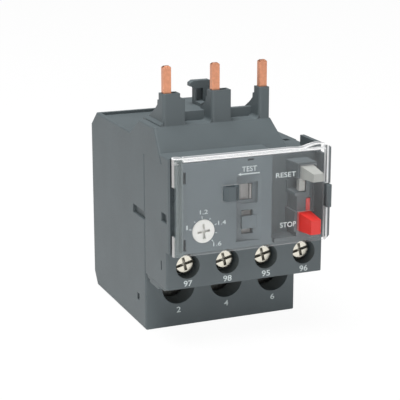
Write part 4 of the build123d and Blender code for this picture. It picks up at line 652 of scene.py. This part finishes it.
class RELAY_OT_stage(bpy.types.Operator):
    """Floor, white surround, lamps and the camera at the photograph's angle"""
    bl_idname = "relay.stage"
    bl_label = "Stage"

    def execute(self, context):
        settings = context.scene.relay_stage
        self.surround(context, settings)
        self.floor(context, settings)
        self.lamp(context, "key_lamp", KEY_PLACE, KEY_SIZE, settings.key)
        self.lamp(context, "fill_lamp", FILL_PLACE, FILL_SIZE, settings.fill)
        self.camera(context, settings)
        return {"FINISHED"}

    def surround(self, context, settings):
        """White to the eye and through the cover, dimmer as a light."""
        world = bpy.data.worlds.new("white_surround")
        world.use_nodes = True
        sky = Wiring(world.node_tree)
        rays = sky.node("ShaderNodeLightPath").outputs
        seen = sky.maths("MAXIMUM", rays["Is Camera Ray"], rays["Is Transmission Ray"])
        light = sky.tree.nodes["Background"]
        light.inputs["Color"].default_value = WHITE
        light.inputs["Strength"].default_value = settings.sky
        backdrop = sky.node("ShaderNodeBackground", Color=WHITE, Strength=1.0)
        mix = sky.node("ShaderNodeMixShader", [
            ("Fac", seen), (1, light.outputs[0]), (2, backdrop.outputs[0])])
        sky.tree.links.new(mix.outputs[0], sky.tree.nodes["World Output"].inputs["Surface"])
        context.scene.world = world

    def floor(self, context, settings):
        """White floor that glows to the eye and less as a light."""
        mesh = bpy.data.meshes.new("floor")
        build = bmesh.new()
        bmesh.ops.create_grid(build, x_segments=2, y_segments=2, size=FLOOR_HALF_SIZE)
        build.to_mesh(mesh)
        build.free()
        paint = Shader("floor_white")
        paint.put(Base_Color=(0.9, 0.9, 0.9, 1), Roughness=0.9)
        glow = paint.node("ShaderNodeEmission")
        seen = paint.node("ShaderNodeLightPath").outputs["Is Camera Ray"]
        share = paint.ranged(seen, settings.bounce, FLOOR_SEEN_GLOW, 0.0, 1.0)
        mix = paint.node("ShaderNodeMixShader", [
            ("Fac", share), (1, paint.bsdf.outputs[0]), (2, glow.outputs[0])])
        paint.tree.links.new(mix.outputs[0], paint.tree.nodes["Material Output"].inputs["Surface"])
        mesh.materials.append(paint.material)
        ground = bpy.data.objects.new("floor", mesh)
        ground.location.z = CAD_BOX[0][2] - FLOOR_GAP
        context.scene.collection.objects.link(ground)

    def lamp(self, context, name, place, size, power):
        data = bpy.data.lights.new(name, "AREA")
        data.size = size
        data.energy = power
        lamp = bpy.data.objects.new(name, data)
        lamp.location = place
        lamp.rotation_euler = (LAMP_TARGET - Vector(place)).to_track_quat("-Z", "Y").to_euler()
        context.scene.collection.objects.link(lamp)

    def camera(self, context, settings):
        turn, rise, roll = CAMERA_TURN, CAMERA_RISE, CAMERA_ROLL
        back = Vector((sin(turn) * cos(rise), -cos(turn) * cos(rise), sin(rise)))
        right = (-back).cross(Vector((0, 0, 1))).normalized()
        up = right.cross(-back)
        right, up = cos(roll) * right + sin(roll) * up, cos(roll) * up - sin(roll) * right
        data = bpy.data.cameras.new("photo_camera")
        data.lens = settings.focal
        data.sensor_width = 36.0
        data.clip_start = 0.01
        camera = bpy.data.objects.new("photo_camera", data)
        camera.matrix_world = Matrix((right, up, back)).transposed().to_4x4()
        camera.location = CAMERA_TARGET + CAMERA_DISTANCE * back + CAMERA_RIGHT * right + CAMERA_UP * up
        context.scene.collection.objects.link(camera)
        context.scene.camera = camera
        context.scene.view_settings.view_transform = "Standard"


class RELAY_OT_housings(bpy.types.Operator):
    """Moulded plastics of the two housings, the back plate and the setting panel"""
    bl_idname = "relay.housings"
    bl_label = "Housings"

    def execute(self, context):
        dress("housing_plastic", "main_housing", "control_housing", "back_plate")
        dress("panel_plastic", "face_plate")
        return {"FINISHED"}


class RELAY_OT_metal(bpy.types.Operator):
    """Copper prongs, tinned and brass terminals, screws and clamps"""
    bl_idname = "relay.metal"
    bl_label = "Prongs, terminals and screws"

    def execute(self, context):
        for k in POLES:
            dress("prong_copper", f"line_pin_{k}")
            dress("terminal_tinned", f"load_terminal_{k}")
            dress("screw_metal", f"power_screw_{k}", f"power_clamp_{k}")
        for number in AUX_NUMBERS:
            dress("terminal_brass", f"aux_terminal_{number}")
            dress("drive_metal", f"aux_screw_{number}")
        dress("screw_metal", "aux_clamps")
        return {"FINISHED"}


class RELAY_OT_cover(bpy.types.Operator):
    """Clear hinged cover with its two printed words"""
    bl_idname = "relay.cover"
    bl_label = "Clear cover"

    def execute(self, context):
        dress("clear_cover_plastic", "clear_cover")
        for word in COVER_WORDS:
            printed(word, COVER_FRONT, "cover")
        return {"FINISHED"}


class RELAY_OT_controls(bpy.types.Operator):
    """Buttons, dial with its cam, test slider and trip flag"""
    bl_idname = "relay.controls"
    bl_label = "Buttons and dial"

    def execute(self, context):
        dress("button_grey", "reset_button")
        dress("button_red", "stop_button")
        dress("dial_white", "dial_knob", "adjusting_cam")
        dress("window_plastic", "test_slider", "trip_flag")
        return {"FINISHED"}


class RELAY_OT_print(bpy.types.Operator):
    """Dial scale, test arrow and the numbers of the terminals"""
    bl_idname = "relay.print"
    bl_label = "Printed scale and numbers"

    def execute(self, context):
        self.dial_scale()
        printed(TEST_WORD, PANEL_FRONT, "base")
        arrow = arrow_outline(tip=-0.0035, neck=-0.0027, end=0.0026, height=0.0460,
                              head=0.0004, shaft=0.00015)
        mesh = prism_mesh("test_arrow", arrow, PANEL_FRONT - INK_THICKNESS, PANEL_FRONT)
        piece("test_arrow", mesh, "base", "print_ink")
        height = context.scene.relay_detail.cap_height
        for text in AUX_NUMBERS:
            self.number(text, f"aux_screw_{text}", AUX_NUMBER_HALF_WIDTH, AUX_NUMBER_BASE, height,
                        BLOCK_FRONT)
        for k, text in POLES.items():
            self.number(text, f"load_terminal_{k}", POLE_NUMBER_HALF_WIDTH, POLE_NUMBER_BASE, height,
                        LOWER_FRONT)
        return {"FINISHED"}

    def number(self, text, node, half_width, base, height, front):
        """A terminal's number, under the middle of one of its nodes."""
        printed(Print("number_" + text, text, middle(node)[0], half_width, base, height), front, "base")

    def dial_scale(self):
        x, _, z = middle("dial_knob")
        fan = fan_tree("print_ink")
        for ticks in DIAL_TICKS:
            fan.grow(ticks.name, "base", Count=ticks.count, Radius=TICK_START_RADIUS + ticks.length / 2,
                     Start=radians(ticks.first), Spread=radians(ticks.spread),
                     Size=(ticks.length, TICK_THICKNESS, TICK_WIDTH), Place=(x, PANEL_FRONT, z))
        for mark in DIAL_NUMBERS:
            name = "dial_" + mark.text.replace(".", "_")
            word = Print(name, mark.text, x + mark.across, mark.half_width, z + mark.up, DIAL_NUMBER_HEIGHT)
            printed(word, PANEL_FRONT, "base")


class RELAY_OT_springs(bpy.types.Operator):
    """Button springs and heater windings, each kind wound by a Geometry Nodes tree"""
    bl_idname = "relay.springs"
    bl_label = "Springs and windings"

    def execute(self, context):
        detail = context.scene.relay_detail
        self.button_springs(detail.spring_turns, detail.spring_wire)
        self.heater_windings(detail.heater_turns, detail.heater_wire)
        return {"FINISHED"}

    def button_springs(self, turns, wire):
        tree = coil_tree("spring_metal")
        for name in ("reset", "stop"):
            low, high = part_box(name + "_spring")
            centre = middle(name + "_spring")
            spring = tree.grow(
                name + "_coil", "base", slot="spring_steel", Turns=float(turns),
                Coil_Radius=(high[0] - low[0]) / 2 - wire, Wire_Radius=wire,
                Length=high[1] - low[1] - 2 * wire,
                Place=(centre[0], high[1] - wire, centre[2]), Turn=(pi / 2, 0.0, 0.0))
            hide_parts(name + "_spring")
            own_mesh(spring)

    def heater_windings(self, turns, wire):
        tree = coil_tree("heater_wire")
        for k in POLES:
            low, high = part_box(f"heater_winding_{k}")
            centre = middle(f"heater_winding_{k}")
            winding = tree.grow(
                f"heater_coil_{k}", f"heater_{k}", slot="heater_wire", Turns=float(turns),
                Coil_Radius=(high[0] - low[0]) / 2 - wire, Wire_Radius=wire,
                Length=high[2] - low[2] - 2 * wire,
                Place=(centre[0], centre[1], low[2] + wire), Turn=(0.0, 0.0, 0.0))
            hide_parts(f"heater_winding_{k}")


class RELAY_OT_mechanism(bpy.types.Operator):
    """Inner pieces: frame, lever, bars, rocker, carrier, bridges and strips"""
    bl_idname = "relay.mechanism"
    bl_label = "Trip mechanism"

    def execute(self, context):
        dress("inner_plastic", "mechanism_frame", "adjusting_slide", "trip_lever", "push_rod", "rocker",
              "contact_carrier", "slide_bar", "differential_bar")
        dress("contact_silver", "nc_bridge", "no_bridge")
        dress("strip_metal", "compensation_strip")
        dress("spring_metal", "lever_pin")
        for k in POLES:
            dress("strip_metal", f"bimetal_strip_{k}")
            dress("sleeve_braid", f"heater_sleeve_{k}")
        return {"FINISHED"}


OPERATORS = (
    RELAY_OT_stage, RELAY_OT_housings, RELAY_OT_metal, RELAY_OT_cover, RELAY_OT_controls,
    RELAY_OT_print, RELAY_OT_springs, RELAY_OT_mechanism,
)


class RELAY_PT_panel(bpy.types.Panel):
    bl_label = "Overload relay"
    bl_idname = "RELAY_PT_panel"
    bl_space_type = "VIEW_3D"
    bl_region_type = "UI"
    bl_category = "Relay"

    def draw(self, context):
        for group in (context.scene.relay_finish, context.scene.relay_detail, context.scene.relay_stage):
            box = self.layout.box()
            for key in group.__annotations__:
                box.prop(group, key)
        for operator in OPERATORS:
            self.layout.operator(operator.bl_idname)


CLASSES = (RelayFinish, RelayDetail, RelayStage, *OPERATORS, RELAY_PT_panel)


def register():
    for item in CLASSES:
        bpy.utils.register_class(item)
    bpy.types.Scene.relay_finish = PointerProperty(type=RelayFinish)
    bpy.types.Scene.relay_detail = PointerProperty(type=RelayDetail)
    bpy.types.Scene.relay_stage = PointerProperty(type=RelayStage)


def unregister():
    del bpy.types.Scene.relay_stage
    del bpy.types.Scene.relay_detail
    del bpy.types.Scene.relay_finish
    for item in reversed(CLASSES):
        bpy.utils.unregister_class(item)


def main():
    register()
    for operator in OPERATORS:
        group, name = operator.bl_idname.split(".")
        getattr(getattr(bpy.ops, group), name)()


if __name__ == "__main__":
    main()
